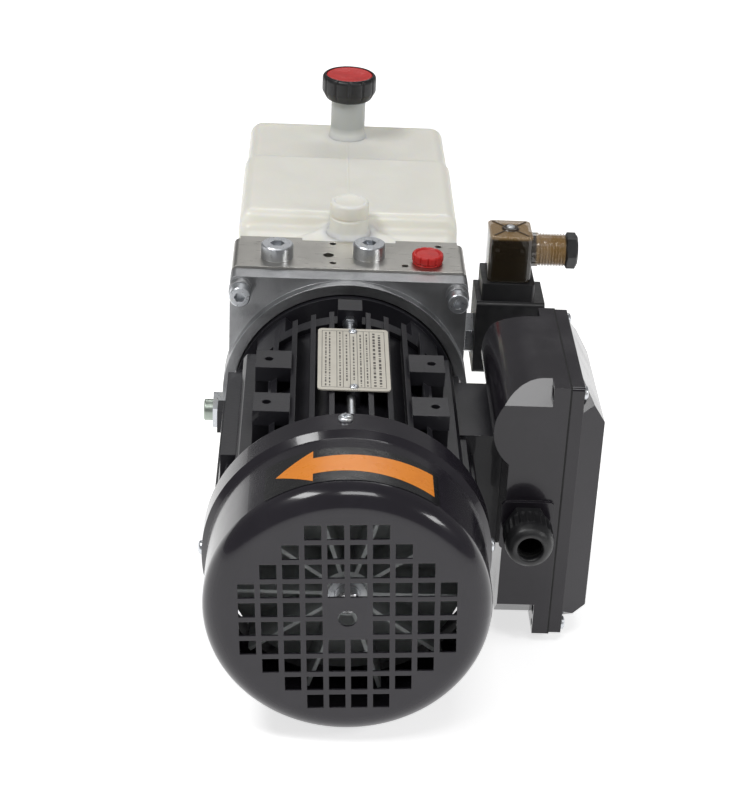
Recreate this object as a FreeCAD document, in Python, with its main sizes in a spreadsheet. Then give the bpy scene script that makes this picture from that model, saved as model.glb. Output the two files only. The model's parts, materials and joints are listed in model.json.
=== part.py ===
import FreeCAD, Part
import math
import os
from types import SimpleNamespace

import Sketcher
from FreeCAD import Placement, Rotation, Vector

# Hydraulic power unit: a fan-cooled motor on a valve block, with a gear pump inside a plastic tank.
# Millimetres. The origin is the centre of the four mounting holes in the underside of the valve
# block. The motor axis runs along Y: the fan is at the -Y end and the tank at the +Y end. Z is up.

SIZES = {
    # Fits
    "fit_gap": 0.1, "run_gap": 0.3, "shaft_gap": 0.05, "seat_gap": 0.3,
    # Stations along the motor axis, from the mounting holes towards the fan and the tank
    "axis_height": 84, "base_hole_setback": 20, "manifold_depth": 43, "adapter_plate": 13,
    "drive_shield_depth": 41, "frame_length": 132, "fan_shield_depth": 18, "fan_space": 66,
    # Valve block
    "manifold_half_width": 73.7, "manifold_rise": 79.3, "manifold_edge": 4,
    "spigot_depth": 15, "base_hole_radius": 3.4, "base_hole_deep": 16,
    "base_spacing_wide": 100, "base_spacing_deep": 22, "gauge_hole_radius": 2.1,
    "gauge_hole_deep": 10, "block_lug_length": 4, "block_lug_inner": 30, "block_lug_height": 5.8,
    "port_radius": 8.3, "port_deep": 14, "coupling_bore": 20, "seal_bore": 14,
    # Plugs and the red transit cap
    "plug_collar_radius": 10.15, "plug_collar_height": 9, "plug_socket_flats": 8,
    "red_cap_radius": 10, "red_cap_height": 6.5, "red_cap_notches": 12,
    "red_cap_notch_radius": 1.1, "red_cap_skirt": 9,
    # Adapter flange
     "adapter_top": 78, 
    "adapter_seat_gap": 1, "adapter_lip_wall": 6.5, "adapter_ring_lip": 7, "adapter_bore": 24,
     "adapter_bolt_high": 70,
    # Screws: shank radius, head radius, head height and length under the head
    "adapter_overhang": 0.3, "adapter_bolt_inset": 6.4, "bolt_boss_radius": 7.2,
    "bolt_boss": 6, "bolt_shank": 4, "bolt_head": 6.5, "bolt_head_height": 8, "bolt_length": 39, "bolt_socket": 6,
    "bolt_spare": 2,
    "small_shank": 2, "small_head": 4, "small_head_height": 2.6,
    # Motor frame
    "frame_core_radius": 65, "frame_wall": 6, "fin_tip_radius": 76, "fin_pitch": 10.9,
    "fin_thickness": 3, "pad_inner": 34, "pad_outer": 54.6, "pad_top": 70, "pad_length": 22,
    "pad_near": 24, "pad_far": 77, "pad_thickness": 9, "pad_hole_wide": 47, "pad_hole_radius": 2.5,
    "pad_hole_deep": 12, "pad_rib": 5, "side_slab_face": 72, "side_slab_half_height": 40,
    "side_slab_start": 16, "side_slab_length": 101, "neck_start": 54, "neck_length": 66,
    "neck_half_height": 36, "wire_hole_radius": 9, 
    # Shields
    "spigot_reach": 4, "shield_wall": 5, "drive_flange_radius": 70, "drive_flange": 10,
    "drive_cone_radius": 50, "drive_ring_lip": 3,  "drive_ring": 10, "shield_arm": 24,
    "fan_shield_radius": 72, "ear_width": 18,  "ear_length": 14,
     "tie_radius": 2.5, "tie_head_radius": 4.6, "tie_head": 5,
    "tie_clear": 6, "tie_lug_half_width": 7.3, "tie_lug_rise": 8,  "tie_lug_front": 5,
    # Bearings, two of one size
    "bearing_bore": 10, "bearing_radius": 23.5, "bearing_width": 14, "inner_ring_radius": 14.5,
    "outer_ring_bore": 18.8, "ball_circle": 16.65, "ball_radius": 3.8, "groove_radius": 4.1,
    "ball_count": 8,
    # Rotor and shaft
    "rotor_radius": 33.6, "rotor_length": 70, "air_gap": 0.4, "winding_length": 20,
    "winding_clear": 3, "winding_inner": 38, "shaft_body_radius": 12, "fan_seat_radius": 7,
    "shaft_end_radius": 9.5, "fan_end_setback": 14,
    # Cowl and fan
    "cowl_radius": 77, "cowl_flare": 3, "cowl_wall": 1.2, "cowl_corner": 13,
    "cowl_drum": 57, "cowl_step": 4, "cowl_length": 78.5, "cowl_hole_side": 8.8,
    "cowl_hole_pitch": 11.75, "cowl_centre_hole": 5, "cowl_turn": 2.5, "cowl_screw_station": 72,
    "fan_setback": 24,  "fan_blade_depth": 26, "fan_blade": 2.2,
    "fan_hub_radius": 14, "fan_tip_clear": 13, "fan_disc_clear": 11, "fan_disc": 2.5,  "clip_thickness": 1.6,
    "label_start": 12, "label_length": 34, "label_sweep": 72, "label_thickness": 0.3,
    # Nameplate
    "nameplate_width": 41, "nameplate_length": 78, "nameplate_start": 28, "nameplate_shift": 1.5,
    "nameplate_thickness": 0.8, "rivet_radius": 2.6, "rivet_head": 1.2, "rivet_inset": 4,
    "rivet_length": 2.4,
    # Terminal box
    "box_start": 20, "box_length": 104, "box_clear": 10, "box_depth": 31, "box_bottom": 77,
    "box_top": 86, "box_wall": 3, "hump_setback": 13, "hump_centre_up": 58, "hump_radius": 28,
    "box_flange_depth": 9, "box_facet": 12, "lid_facet": 16, "entry_pad": 2,
    "entry_half_width": 15, "entry_rise": 15.5, "box_floor_lift": 8, "gasket_thickness": 1,
    "lid_flange": 8, "lid_depth": 22, "lid_face_top": 62, "lid_face_bottom": 61,
    "lid_draft": 7, "lid_foot_drop": 8, "lid_wall": 2.5, "lid_rim": 0.5, "lid_screw_inset": 5,
    "capacitor_inset": 15,
    "board_thickness": 8, "board_height": 40, "board_length": 56, "board_start": 24,
    "stud_radius": 2, "stud_length": 10, "stud_nut_radius": 4, "stud_nut": 3,
    # Cable gland
    "gland_inset": 13, "gland_down": 2, "gland_thread": 10, "gland_hex": 24, "gland_hex_length": 6,
    "gland_nut_radius": 14.25, "gland_nut_length": 20, "gland_hole": 6.9, "gland_wall": 3.4,
    # Solenoid valve, on the +X side of the block
    "valve_up": 31, "valve_setback": 15, "valve_hex": 24, "valve_hex_length": 7,
    "valve_nose_radius": 9, "valve_nose": 28, "stem_radius": 7, "stem_length": 46,
    "stem_bore": 5, "plunger_length": 24, "plunger_gap": 0.08, "plunger_travel": 3,
    "coil_width": 37, "coil_length": 43, "coil_bottom": 20, "coil_top": 30, "coil_edge": 3,
    "coil_nut_radius": 10, "coil_nut": 6, "connector_base_start": 3, "connector_base_length": 33,
    "connector_base_width": 32, "connector_base_height": 12, "hood_start": 6, "hood_length": 27,
    "hood_width": 28, "hood_height": 31, "hood_wall": 2, "hood_edge": 3, "hood_neck_radius": 11,
    "hood_neck_length": 21.5, "hood_neck_rise": 17.5, "insert_height": 20, "hood_screw": 2.5,
    "hood_screw_head": 4.5, "hood_nut_flats": 20, "hood_nut": 7.5, "hood_cable_hole": 4,
    # Relief valve, on the -X side of the block
    "relief_down": 31, "relief_hex": 23, "relief_hex_length": 11, "relief_thread": 8.5,
    "relief_reach": 30, "adjuster_radius": 7, "adjuster_head": 6, "adjuster_stem": 3,
    "adjuster_stem_length": 14, "poppet_radius": 4, "poppet_length": 9, "poppet_travel": 2,
    # Coupling, seal and pump
    "coupling_radius": 16, "coupling_length": 36, "coupling_overlap": 18, "seal_width": 8,
    "seal_setback": 4, "pump_shaft_radius": 6.5, "gear_teeth": 12, "gear_module": 2.5,
    "gear_addendum": 2.2, "gear_dedendum": 2.8, "gear_backlash": 0.25, "gear_width": 14,
    "gear_bore_gap": 0.2, "bush_length": 12, "side_gap": 0.1, "pump_half_width": 30,
    "pump_margin": 9.4, "pump_cover": 12, "pump_bolt_wide": 24, "pump_bolt_margin": 7,
    "pump_bolt_shank": 3, "pump_bolt_head": 5, "pump_bolt_head_height": 6, "pump_bolt_in": 10,
    "suction_radius": 6, "suction_wall": 1.5, "strainer_radius": 17, "strainer_height": 9,
    "strainer_clear": 3, "return_radius": 5, "return_wide": 42, "return_up": 30,
    "return_length": 120, "return_seat": 8,
    # Tank
    "tank_length": 213, "collar_length": 34, "tank_inset": 1.7, "tank_taper": 1.4,  
    "tank_crease": 136, "tank_top": 84, "tank_bottom": 82, "collar_top": 73, "collar_bottom": 80,
    "tank_wall": 3, "tank_corner": 9, "collar_corner": 8, "boss_radius": 12.7, "boss_setback": 27,
    "boss_top": 97, "neck_radius": 12.25, "neck_setback": 189, "neck_top": 122, "neck_wall": 2.2,
    "seal_line": 3, "seal_side": 3, "seal_depth": 2, "tank_screw_line": 10.5,
    "tank_screw_up": 40, "tank_screw_length": 12,
    # Filler cap
    "cap_radius": 19.25, "cap_bottom": 110, "cap_height": 18, "cap_top_wall": 3,
    "cap_skirt_gap": 0.3, "cap_chamfer": 4, "cap_notches": 18, "cap_notch_radius": 1.2,
     "disc_inset": 2.75, "disc_height": 1.5, "gasket_height": 1.5,
}


class Size:
    """A length together with the sheet formula that gives it, so that sums of sizes stay live."""

    def __init__(self, value, formula):
        self.value = float(value)
        self.formula = formula

    def joined(self, other, sign, value):
        return Size(value, f"({self.formula} {sign} {sized(other).formula})")

    def __add__(self, other):
        return self.joined(other, "+", self.value + float(other))

    def __sub__(self, other):
        return self.joined(other, "-", self.value - float(other))

    def __mul__(self, other):
        return self.joined(other, "*", self.value * float(other))

    def __truediv__(self, other):
        return self.joined(other, "/", self.value / float(other))

    def __radd__(self, other):
        return sized(other) + self

    def __rsub__(self, other):
        return sized(other) - self

    def __rmul__(self, other):
        return self * other

    def __neg__(self):
        return self * -1

    def __float__(self):
        return self.value


def sized(number):
    """A plain number as a Size."""
    if isinstance(number, Size):
        return number
    return Size(number, f"({float(number):.9f})")


doc = FreeCAD.newDocument("HydraulicPowerUnit")
sheet = doc.addObject("Spreadsheet::Sheet", "Sizes")
for row, (alias, number) in enumerate(SIZES.items(), 1):
    sheet.set(f"A{row}", alias)
    sheet.set(f"B{row}", str(number))
    sheet.setAlias(f"B{row}", alias)
doc.recompute()
S = SimpleNamespace(**{alias: Size(number, f"Sizes.{alias}") for alias, number in SIZES.items()})

# Sizes that follow from others
S.frame_bore_radius = S.frame_core_radius - S.frame_wall
S.winding_outer = S.frame_bore_radius - S.winding_clear
S.plate_level = S.fin_tip_radius
S.cowl_band_radius = S.cowl_radius + S.cowl_flare
S.ear_reach = S.cowl_band_radius - S.cowl_wall - S.seat_gap
S.fan_blade_radius = S.cowl_radius - S.fan_tip_clear
S.fan_disc_radius = S.cowl_radius - S.fan_disc_clear
S.tie_circle = S.frame_core_radius + S.tie_clear
S.tie_lug_top = S.tie_circle + S.tie_lug_rise
S.drive_ring_radius = S.frame_core_radius + S.drive_ring_lip
S.adapter_ring_inner = S.drive_flange_radius + S.adapter_seat_gap
S.adapter_ring_outer = S.adapter_ring_inner + S.adapter_lip_wall
S.adapter_half_width = S.manifold_half_width + S.adapter_overhang
S.adapter_bolt_wide = S.manifold_half_width - S.adapter_bolt_inset
S.tank_half_width = S.manifold_half_width - S.tank_inset
S.tank_back_half_width = S.tank_half_width - S.tank_taper
S.box_inner = S.cowl_band_radius + S.box_clear
S.capacitor_length = S.box_length - S.capacitor_inset * 2
S.box_split = S.box_inner + S.box_depth
S.box_flange_start = S.box_split - S.box_flange_depth
S.hump_centre_out = S.box_split - S.hump_setback
S.lid_face = S.box_split + S.lid_depth
S.gland_out = S.box_inner + S.gland_inset
S.disc_radius = S.cap_radius - S.disc_inset

NODES = []
TO_X = Rotation(Vector(0, 1, 0), 90)
TO_MINUS_X = Rotation(Vector(0, 1, 0), -90)
TO_Y = Rotation(Vector(1, 0, 0), -90)
TO_MINUS_Y = Rotation(Vector(1, 0, 0), 90)
TO_Z = Rotation()
TO_MINUS_Z = Rotation(Vector(1, 0, 0), 180)
QUARTERS = (0, 90, 180, 270)
SIDES = (-1, 1)
PRESSURE_ANGLE = 25

# Stations on Y
manifold_front = -S.base_hole_setback
manifold_back = manifold_front + S.manifold_depth
spigot_back = manifold_back + S.spigot_depth
adapter_front = manifold_front - S.adapter_plate
shield_front = adapter_front - S.drive_shield_depth
frame_front = shield_front - S.frame_length
fan_shield_front = frame_front - S.fan_shield_depth
cowl_front = fan_shield_front - S.fan_space
tank_back = manifold_back + S.tank_length
collar_back = manifold_back + S.collar_length
box_front = frame_front + S.box_start
box_back = box_front + S.box_length
valve_line = manifold_front + S.valve_setback
# Heights
axis = S.axis_height
manifold_top = S.axis_height + S.manifold_rise


def bind(piece, name, size):
    """Tie one property of a document object to the sheet."""
    piece.setExpression(name, sized(size).formula)


def place(piece, at, turn=TO_Z):
    """Turn an object and tie its place to the sheet."""
    piece.Placement = Placement(Vector(*[float(value) for value in at]), turn)
    for letter, value in zip("xyz", at):
        bind(piece, f"Placement.Base.{letter}", value)
    return piece


def primitive(kind, at, turn, **sizes):
    """A Part primitive with its properties tied to the sheet."""
    piece = doc.addObject(kind, kind.split("::")[1].lower())
    for name, size in sizes.items():
        bind(piece, name, size)
    return place(piece, at, turn)


def block(x, y, z):
    """A box between two values on each axis."""
    sizes = {"Length": x[1] - x[0], "Width": y[1] - y[0], "Height": z[1] - z[0]}
    return primitive("Part::Box", (x[0], y[0], z[0]), TO_Z, **sizes)


def rod(at, radius, length, turn=TO_Y):
    """A round bar that starts at a point."""
    return primitive("Part::Cylinder", at, turn, Radius=radius, Height=length)


def hexagon(at, flats, length, turn=TO_Y):
    """A six-sided bar of a given size across its flats."""
    corner = flats / (2 * math.cos(math.pi / 6))
    piece = primitive("Part::Prism", at, turn, Circumradius=corner, Height=length)
    piece.Polygon = 6
    return piece


def ball(at, radius):
    """A sphere about a point."""
    return primitive("Part::Sphere", at, TO_Z, Radius=radius)


def fuse(*pieces):
    """One solid from pieces that overlap or meet."""
    joined = doc.addObject("Part::MultiFuse", "fused")
    joined.Shapes = list(pieces)
    joined.Refine = True
    return joined


def cut(base, *tools):
    """The base with every tool taken out of it."""
    result = doc.addObject("Part::Cut", "cut")
    result.Base = base
    result.Tool = tools[0] if len(tools) == 1 else fuse(*tools)
    result.Refine = True
    return result


def common(first, second):
    """What two pieces share."""
    result = doc.addObject("Part::Common", "shared")
    result.Base = first
    result.Tool = second
    return result


def group(*pieces):
    """Separate solids that share one node."""
    result = doc.addObject("Part::Compound", "group")
    result.Links = list(pieces)
    return result


def ring(at, outer, inner, length, turn=TO_Y):
    """A plain round ring."""
    return cut(rod(at, outer, length, turn), rod(at, inner, length, turn))


def rounded(piece, radius, chosen):
    """The piece with a round on each edge that the test picks."""
    doc.recompute()
    result = doc.addObject("Part::Fillet", "rounded")
    result.Base = piece
    edges = enumerate(piece.Shape.Edges, 1)
    size = float(radius)
    result.Edges = [(number, size, size) for number, edge in edges if chosen(edge)]
    return result


def along(direction):
    """A test for straight edges that run in one direction."""
    def test(edge):
        if not isinstance(edge.Curve, Part.Line):
            return False
        return abs(abs(edge.Curve.Direction.dot(direction)) - 1) < 1e-6
    return test


def circle_at(radius, place_on_axis, letter):
    """A test for a round edge of one radius at one place."""
    def test(edge):
        if not isinstance(edge.Curve, Part.Circle):
            return False
        near = abs(edge.Curve.Radius - float(radius)) < 1e-4
        return near and abs(getattr(edge.Curve.Center, letter) - float(place_on_axis)) < 1e-4
    return test


def sketched(body, points, plane):
    """A closed sketch on one of the body's planes, each corner held by two sheet distances."""
    sketch = body.newObject("Sketcher::SketchObject", "outline")
    planes = [feature for feature in body.Origin.OriginFeatures if feature.Role == plane]
    sketch.AttachmentSupport = (planes[0], [""])
    sketch.MapMode = "FlatFace"
    corners = [Vector(float(across), float(up), 0) for across, up in points]
    count = len(corners)
    for number, start in enumerate(corners):
        sketch.addGeometry(Part.LineSegment(start, corners[(number + 1) % count]), False)
    for number in range(count):
        following = (number + 1) % count
        sketch.addConstraint(Sketcher.Constraint("Coincident", number, 2, following, 1))
    for number, point in enumerate(points):
        for kind, size in zip(("DistanceX", "DistanceY"), point):
            held = Sketcher.Constraint(kind, -1, 1, number, 1, float(size))
            index = sketch.addConstraint(held)
            sketch.setExpression(f"Constraints[{index}]", sized(size).formula)
    return sketch


def turned(points, at, turn=TO_Y):
    """A lathe-turned piece: points are (radius, distance along the axis) from its start."""
    body = doc.addObject("PartDesign::Body", "turned")
    sketch = sketched(body, points, "XZ_Plane")
    revolution = body.newObject("PartDesign::Revolution", "turn")
    revolution.Profile = sketch
    revolution.ReferenceAxis = (sketch, ["V_Axis"])
    revolution.Angle = 360
    body.Tip = revolution
    return place(body, at, turn)


def polar(radius, degrees):
    """The X and Z of a point on a circle about the motor axis."""
    angle = math.radians(degrees)
    return radius * math.cos(angle), axis + radius * math.sin(angle)


def node(label, piece):
    """Name a finished sub-part and keep it for export."""
    piece.Label = label
    NODES.append(piece)
    return piece


def pan_screw(at, length, turn):
    """A small screw whose head starts at a point and whose shank runs the other way."""
    head = [(0, 0), (S.small_head, 0), (S.small_head, S.small_head_height * 0.45)]
    head += [(S.small_head * 0.8, S.small_head_height * 0.85), (S.small_head * 0.4, S.small_head_height)]
    head += [(0, S.small_head_height)]
    shank = [(0, -length), (S.small_shank, -length), (S.small_shank, 0)]
    return turned(shank + head[1:], at, turn)


def ahead(at, turn, distance):
    """The point a distance further along a turned piece's own axis."""
    direction = turn.multVec(Vector(0, 0, 1))
    return tuple(value + distance * round(part, 6) for value, part in zip(at, direction))


def socket_screw(at, shank, head, head_height, length, flats, turn):
    """A cap screw with a hexagon socket; it starts under its head."""
    points = [(0, -length), (shank, -length), (shank, 0), (head, 0)]
    points += [(head, head_height * 0.92), (head * 0.92, head_height), (0, head_height)]
    socket = hexagon(ahead(at, turn, head_height * 0.4), flats, head_height, turn)
    return cut(turned(points, at, turn), socket)


def four_corners(wide, high):
    """The four places that mirror one corner across the motor axis."""
    return [(side * wide, axis + up * high) for side in SIDES for up in SIDES]


# Motor


def make_motor_frame():
    """The finned casting: core, fins, foot pads on top, a slab and a neck at its sides."""
    core = rod((0, frame_front, axis), S.frame_core_radius, S.frame_length)
    pieces = [core]
    inside = S.frame_core_radius * 0.6
    for number in (-4, -3, -2, -1, 1, 2, 3, 4):
        middle = S.fin_pitch * number
        edges = (middle - S.fin_thickness / 2, middle + S.fin_thickness / 2)
        for side in SIDES:
            reach = sorted((side * inside, side * S.fin_tip_radius), key=float)
            span = (frame_front, shield_front)
            pieces.append(block(edges, span, (axis + reach[0], axis + reach[1])))
            level = (axis + edges[0], axis + edges[1])
            pieces.append(block(tuple(reach), span, level))
    envelope = rod((0, frame_front, axis), S.fin_tip_radius, S.frame_length)
    finned = common(fuse(*pieces), envelope)
    parts = [finned, side_slab(), side_neck()] + foot_pads() + nameplate_bosses()
    casting = cut(fuse(*parts), *frame_cuts())
    return node("motor_frame", casting)


def side_slab():
    """The flat mounting face that the -X side would carry a terminal box on."""
    start = frame_front + S.side_slab_start
    inner = -S.frame_core_radius * 0.8
    high = (axis - S.side_slab_half_height, axis + S.side_slab_half_height)
    return block((-S.side_slab_face, inner), (start, start + S.side_slab_length), high)


def side_neck():
    """The neck that carries the terminal box."""
    start = frame_front + S.neck_start
    inner = S.frame_core_radius * 0.8
    high = (axis - S.neck_half_height, axis + S.neck_half_height)
    return block((inner, S.box_inner), (start, start + S.neck_length), high)


def foot_pads():
    """Four pads for bolt-on feet, two on each side, joined by a thin rib."""
    pieces = []
    low = axis + S.pad_top - S.pad_thickness
    for side in SIDES:
        wide = tuple(sorted((side * S.pad_inner, side * S.pad_outer), key=float))
        middle = side * (S.pad_inner + S.pad_outer) / 2
        rib = (middle - S.pad_rib / 2, middle + S.pad_rib / 2)
        for setback in (S.pad_near, S.pad_far):
            start = frame_front + setback - S.pad_length / 2
            span = (start, start + S.pad_length)
            pieces.append(block(wide, span, (low, axis + S.pad_top)))
            leg = (start + S.pad_length / 4, start + S.pad_length * 0.75)
            pieces.append(block(wide, leg, (axis + S.pad_inner, low)))
        rib_span = (frame_front + S.pad_near, frame_front + S.pad_far)
        pieces.append(block(rib, rib_span, (axis + S.pad_inner, low)))
    return pieces


def nameplate_bosses():
    """Two round bosses that the nameplate is screwed to."""
    start = frame_front + S.nameplate_start
    places = (start + S.rivet_inset, start + S.nameplate_length - S.rivet_inset)
    base = axis + S.frame_core_radius * 0.9
    high = S.plate_level - S.frame_core_radius * 0.9
    return [rod((S.nameplate_shift, at, base), S.rivet_inset, high, TO_Z) for at in places]


def frame_cuts():
    """The bore, the foot holes, the nameplate screw holes, the wire hole and the tie bolts."""
    tools = [rod((0, frame_front, axis), S.frame_bore_radius, S.frame_length)]
    for side in SIDES:
        for setback in (S.pad_near, S.pad_far):
            at = (side * S.pad_hole_wide, frame_front + setback, axis + S.pad_top)
            tools.append(rod(at, S.pad_hole_radius, S.pad_hole_deep, TO_MINUS_Z))
    start = frame_front + S.nameplate_start
    for at in (start + S.rivet_inset, start + S.nameplate_length - S.rivet_inset):
        place_at = (S.nameplate_shift, at, axis + S.plate_level)
        tools.append(rod(place_at, S.small_shank + S.fit_gap, S.rivet_inset * 1.5, TO_MINUS_Z))
    middle = frame_front + S.neck_start + S.neck_length / 2
    reach = S.box_inner - S.frame_bore_radius * 0.8
    wires = (S.frame_bore_radius * 0.8, middle, axis + S.gland_down * 6)
    tools.append(rod(wires, S.wire_hole_radius, reach, TO_X))
    hole = S.tie_radius + S.run_gap
    for degrees in QUARTERS:
        across, up = polar(S.tie_circle, degrees)
        tools.append(rod((across, frame_front, up), hole, S.frame_length))
    return tools


def make_fan_end_shield():
    """The end cover under the cowl, with a bearing seat and four ears."""
    seat = S.bearing_radius + S.shaft_gap
    inner = S.frame_bore_radius - S.shield_wall
    spigot = S.frame_bore_radius - S.seat_gap
    depth = S.fan_shield_depth
    hub = seat + S.shield_wall * 2
    points = [(S.shaft_body_radius, 0), (S.fan_shield_radius, 0), (S.fan_shield_radius, depth)]
    points += [(spigot, depth), (spigot, depth + S.spigot_reach), (inner, depth + S.spigot_reach)]
    points += [(inner, S.shield_wall), (hub, S.shield_wall), (hub, depth), (seat, depth)]
    points += [(seat, depth - S.bearing_width - S.run_gap)]
    points += [(S.shaft_body_radius, depth - S.bearing_width - S.run_gap)]
    plate = turned(points, (0, fan_shield_front, axis))
    ears = [turned_ear(degrees) for degrees in QUARTERS]
    tools = []
    for degrees in QUARTERS:
        across, up = polar(S.tie_circle, degrees)
        tools.append(rod((across, fan_shield_front, up), S.tie_radius + S.fit_gap, depth))
        tools.append(cowl_screw_hole(degrees + float(S.cowl_turn)))
    return node("fan_end_shield", cut(fuse(plate, *ears), *tools))


def turned_ear(degrees):
    """One ear of the fan-end shield, turned with the cowl."""
    turn = Rotation(Vector(0, 1, 0), -(degrees + float(S.cowl_turn)))
    ear = doc.addObject("Part::Box", "ear")
    reach = S.ear_reach - S.fan_shield_radius * 0.8
    for name, size in (("Length", reach), ("Width", S.ear_length), ("Height", S.ear_width)):
        bind(ear, name, size)
    start = turn.multVec(Vector(float(S.fan_shield_radius) * 0.8, 0, -float(S.ear_width) / 2))
    ratio = (start.x / float(S.fan_shield_radius), start.z / float(S.fan_shield_radius))
    at = (S.fan_shield_radius * ratio[0], fan_shield_front, axis + S.fan_shield_radius * ratio[1])
    envelope = rod((0, fan_shield_front, axis), S.ear_reach, S.ear_length)
    return common(place(ear, at, turn), envelope)


def radial(degrees):
    """The turn that sends a piece's own axis outwards at an angle about the motor axis."""
    angle = math.radians(degrees)
    return Rotation(Vector(0, 0, 1), Vector(math.cos(angle), 0, math.sin(angle)))


def cowl_screw_hole(degrees):
    """A radial hole in the fan-end shield for one cowl screw."""
    inner = S.tie_circle + S.tie_radius + 1
    across, up = polar(inner, degrees)
    at = (across, cowl_front + S.cowl_screw_station, up)
    length = S.cowl_band_radius - inner
    return rod(at, S.small_shank + S.fit_gap, length, radial(degrees))


def make_cowl_screws():
    """Four pan-head screws round the cowl's rear band."""
    screws = []
    length = S.cowl_band_radius - S.tie_circle - S.tie_radius - 2
    for quarter in QUARTERS:
        degrees = quarter + float(S.cowl_turn)
        across, up = polar(S.cowl_band_radius, degrees)
        at = (across, cowl_front + S.cowl_screw_station, up)
        screws.append(pan_screw(at, length, radial(degrees)))
    return node("cowl_screws", group(*screws))


def make_fan_cowl():
    """The pressed cowl: a cup with a wider band at its open end and a grid of square holes."""
    drum = S.cowl_radius
    wall = S.cowl_wall
    band = S.cowl_band_radius
    step = S.cowl_drum + S.cowl_step
    points = [(0, 0), (drum, 0), (drum, S.cowl_drum), (band, step), (band, S.cowl_length)]
    points += [(band - wall, S.cowl_length), (band - wall, step + wall / 2)]
    points += [(drum - wall, S.cowl_drum + wall / 2), (drum - wall, wall), (0, wall)]
    cup = turned(points, (0, cowl_front, axis))
    outside = circle_at(drum, cowl_front, "y")
    inside = circle_at(drum - wall, cowl_front + wall, "y")
    cup = rounded(rounded(cup, S.cowl_corner, outside), S.cowl_corner - wall, inside)
    tools = grid_holes() + [rod((0, cowl_front, axis), S.cowl_centre_hole, S.cowl_corner)]
    for quarter in QUARTERS:
        degrees = quarter + float(S.cowl_turn)
        across, up = polar(S.cowl_radius, degrees)
        at = (across, cowl_front + S.cowl_screw_station, up)
        hole = S.small_shank + S.fit_gap
        tools.append(rod(at, hole, S.cowl_band_radius, radial(degrees)))
    return node("fan_cowl", cut(cup, *tools))


def grid_holes():
    """Square holes on a ten by ten grid inside a circle, without the middle four."""
    holes = []
    steps = [number - 4.5 for number in range(10)]
    turn = Rotation(Vector(0, 1, 0), -float(S.cowl_turn))
    for across in steps:
        for up in steps:
            if 1 < across ** 2 + up ** 2 < 4.75 ** 2:
                holes.append(grid_hole(across, up, turn))
    return holes


def grid_hole(across, up, turn):
    """One square hole, a number of pitches from the middle of the grid."""
    hole = doc.addObject("Part::Box", "hole")
    bind(hole, "Length", S.cowl_hole_side)
    bind(hole, "Height", S.cowl_hole_side)
    bind(hole, "Width", S.cowl_wall * 2)
    middle = turn.multVec(Vector(across, 0, up))
    half = turn.multVec(Vector(0.5, 0, 0.5))
    x = S.cowl_hole_pitch * middle.x - S.cowl_hole_side * half.x
    z = axis + S.cowl_hole_pitch * middle.z - S.cowl_hole_side * half.z
    return place(hole, (x, cowl_front - S.cowl_wall / 2, z), turn)


def make_cooling_fan():
    """A plastic fan with ten straight blades on a disc."""
    front = cowl_front + S.fan_setback
    bore = S.fan_seat_radius + S.fit_gap
    hub = rod((0, front, axis), S.fan_hub_radius, S.fan_blade_depth)
    disc = rod((0, front + S.fan_blade_depth, axis), S.fan_disc_radius, S.fan_disc)
    blades = []
    for number in range(10):
        turn = Rotation(Vector(0, 1, 0), -36 * number)
        blade = doc.addObject("Part::Box", "blade")
        bind(blade, "Length", S.fan_blade_radius)
        bind(blade, "Width", S.fan_blade_depth)
        bind(blade, "Height", S.fan_blade)
        offset = turn.multVec(Vector(0, 0, -0.5))
        at = (S.fan_blade * offset.x, front, axis + S.fan_blade * offset.z)
        blades.append(place(blade, at, turn))
    length = S.fan_blade_depth + S.fan_disc
    fan = cut(fuse(hub, disc, *blades), rod((0, front, axis), bore, length))
    return node("cooling_fan", fan)


def make_fan_clip():
    """The spring clip that holds the fan on the shaft."""
    at = (0, cowl_front + S.fan_setback - S.clip_thickness, axis)
    inner = S.fan_seat_radius + S.shaft_gap
    return node("fan_clip", ring(at, S.fan_seat_radius * 1.5, inner, S.clip_thickness))


def make_direction_label():
    """A thin printed band on top of the cowl's drum."""
    start = cowl_front + S.label_start
    turn = TO_Y * Rotation(Vector(0, 0, 1), -(90 + float(S.label_sweep) / 2))
    outer = S.cowl_radius + S.fit_gap + S.label_thickness
    sector = rod((0, start, axis), outer, S.label_length, turn)
    bind(sector, "Angle", S.label_sweep)
    inside = rod((0, start, axis), S.cowl_radius + S.fit_gap, S.label_length)
    return node("direction_label", cut(sector, inside))


def make_drive_end_shield():
    """The bell between frame and adapter: ring, cone, four arms, flange and bearing seat."""
    seat = S.bearing_radius + S.shaft_gap
    spigot = S.frame_bore_radius - S.seat_gap
    inner = S.frame_bore_radius - S.shield_wall
    floor = S.drive_shield_depth - S.drive_flange
    pocket = S.bearing_width + S.shield_wall
    clear = S.coupling_radius + S.run_gap * 2
    points = [(seat, S.shield_wall), (seat, pocket), (clear, pocket)]
    points += [(clear, S.drive_shield_depth), (S.drive_flange_radius, S.drive_shield_depth)]
    points += [(S.drive_flange_radius, floor), (S.drive_cone_radius, floor)]
    points += [(S.drive_ring_radius - S.shield_wall, S.drive_ring), (S.drive_ring_radius, S.drive_ring)]
    points += [(S.drive_ring_radius, 0), (spigot, 0), (spigot, -S.spigot_reach)]
    points += [(inner, -S.spigot_reach), (inner, S.shield_wall)]
    bell = turned(points, (0, shield_front, axis))
    arms = [shield_arm(degrees) for degrees in (45, 135, 225, 315)]
    lugs = [tie_lug(degrees) for degrees in QUARTERS]
    holes = []
    for degrees in QUARTERS:
        across, up = polar(S.tie_circle, degrees)
        length = S.drive_ring + S.tie_lug_front + 1
        hole = rod((across, shield_front - S.tie_lug_front, up), S.tie_radius + S.fit_gap, length)
        holes.append(hole)
    return node("drive_end_shield", cut(fuse(bell, *arms, *lugs), *holes))


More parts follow.
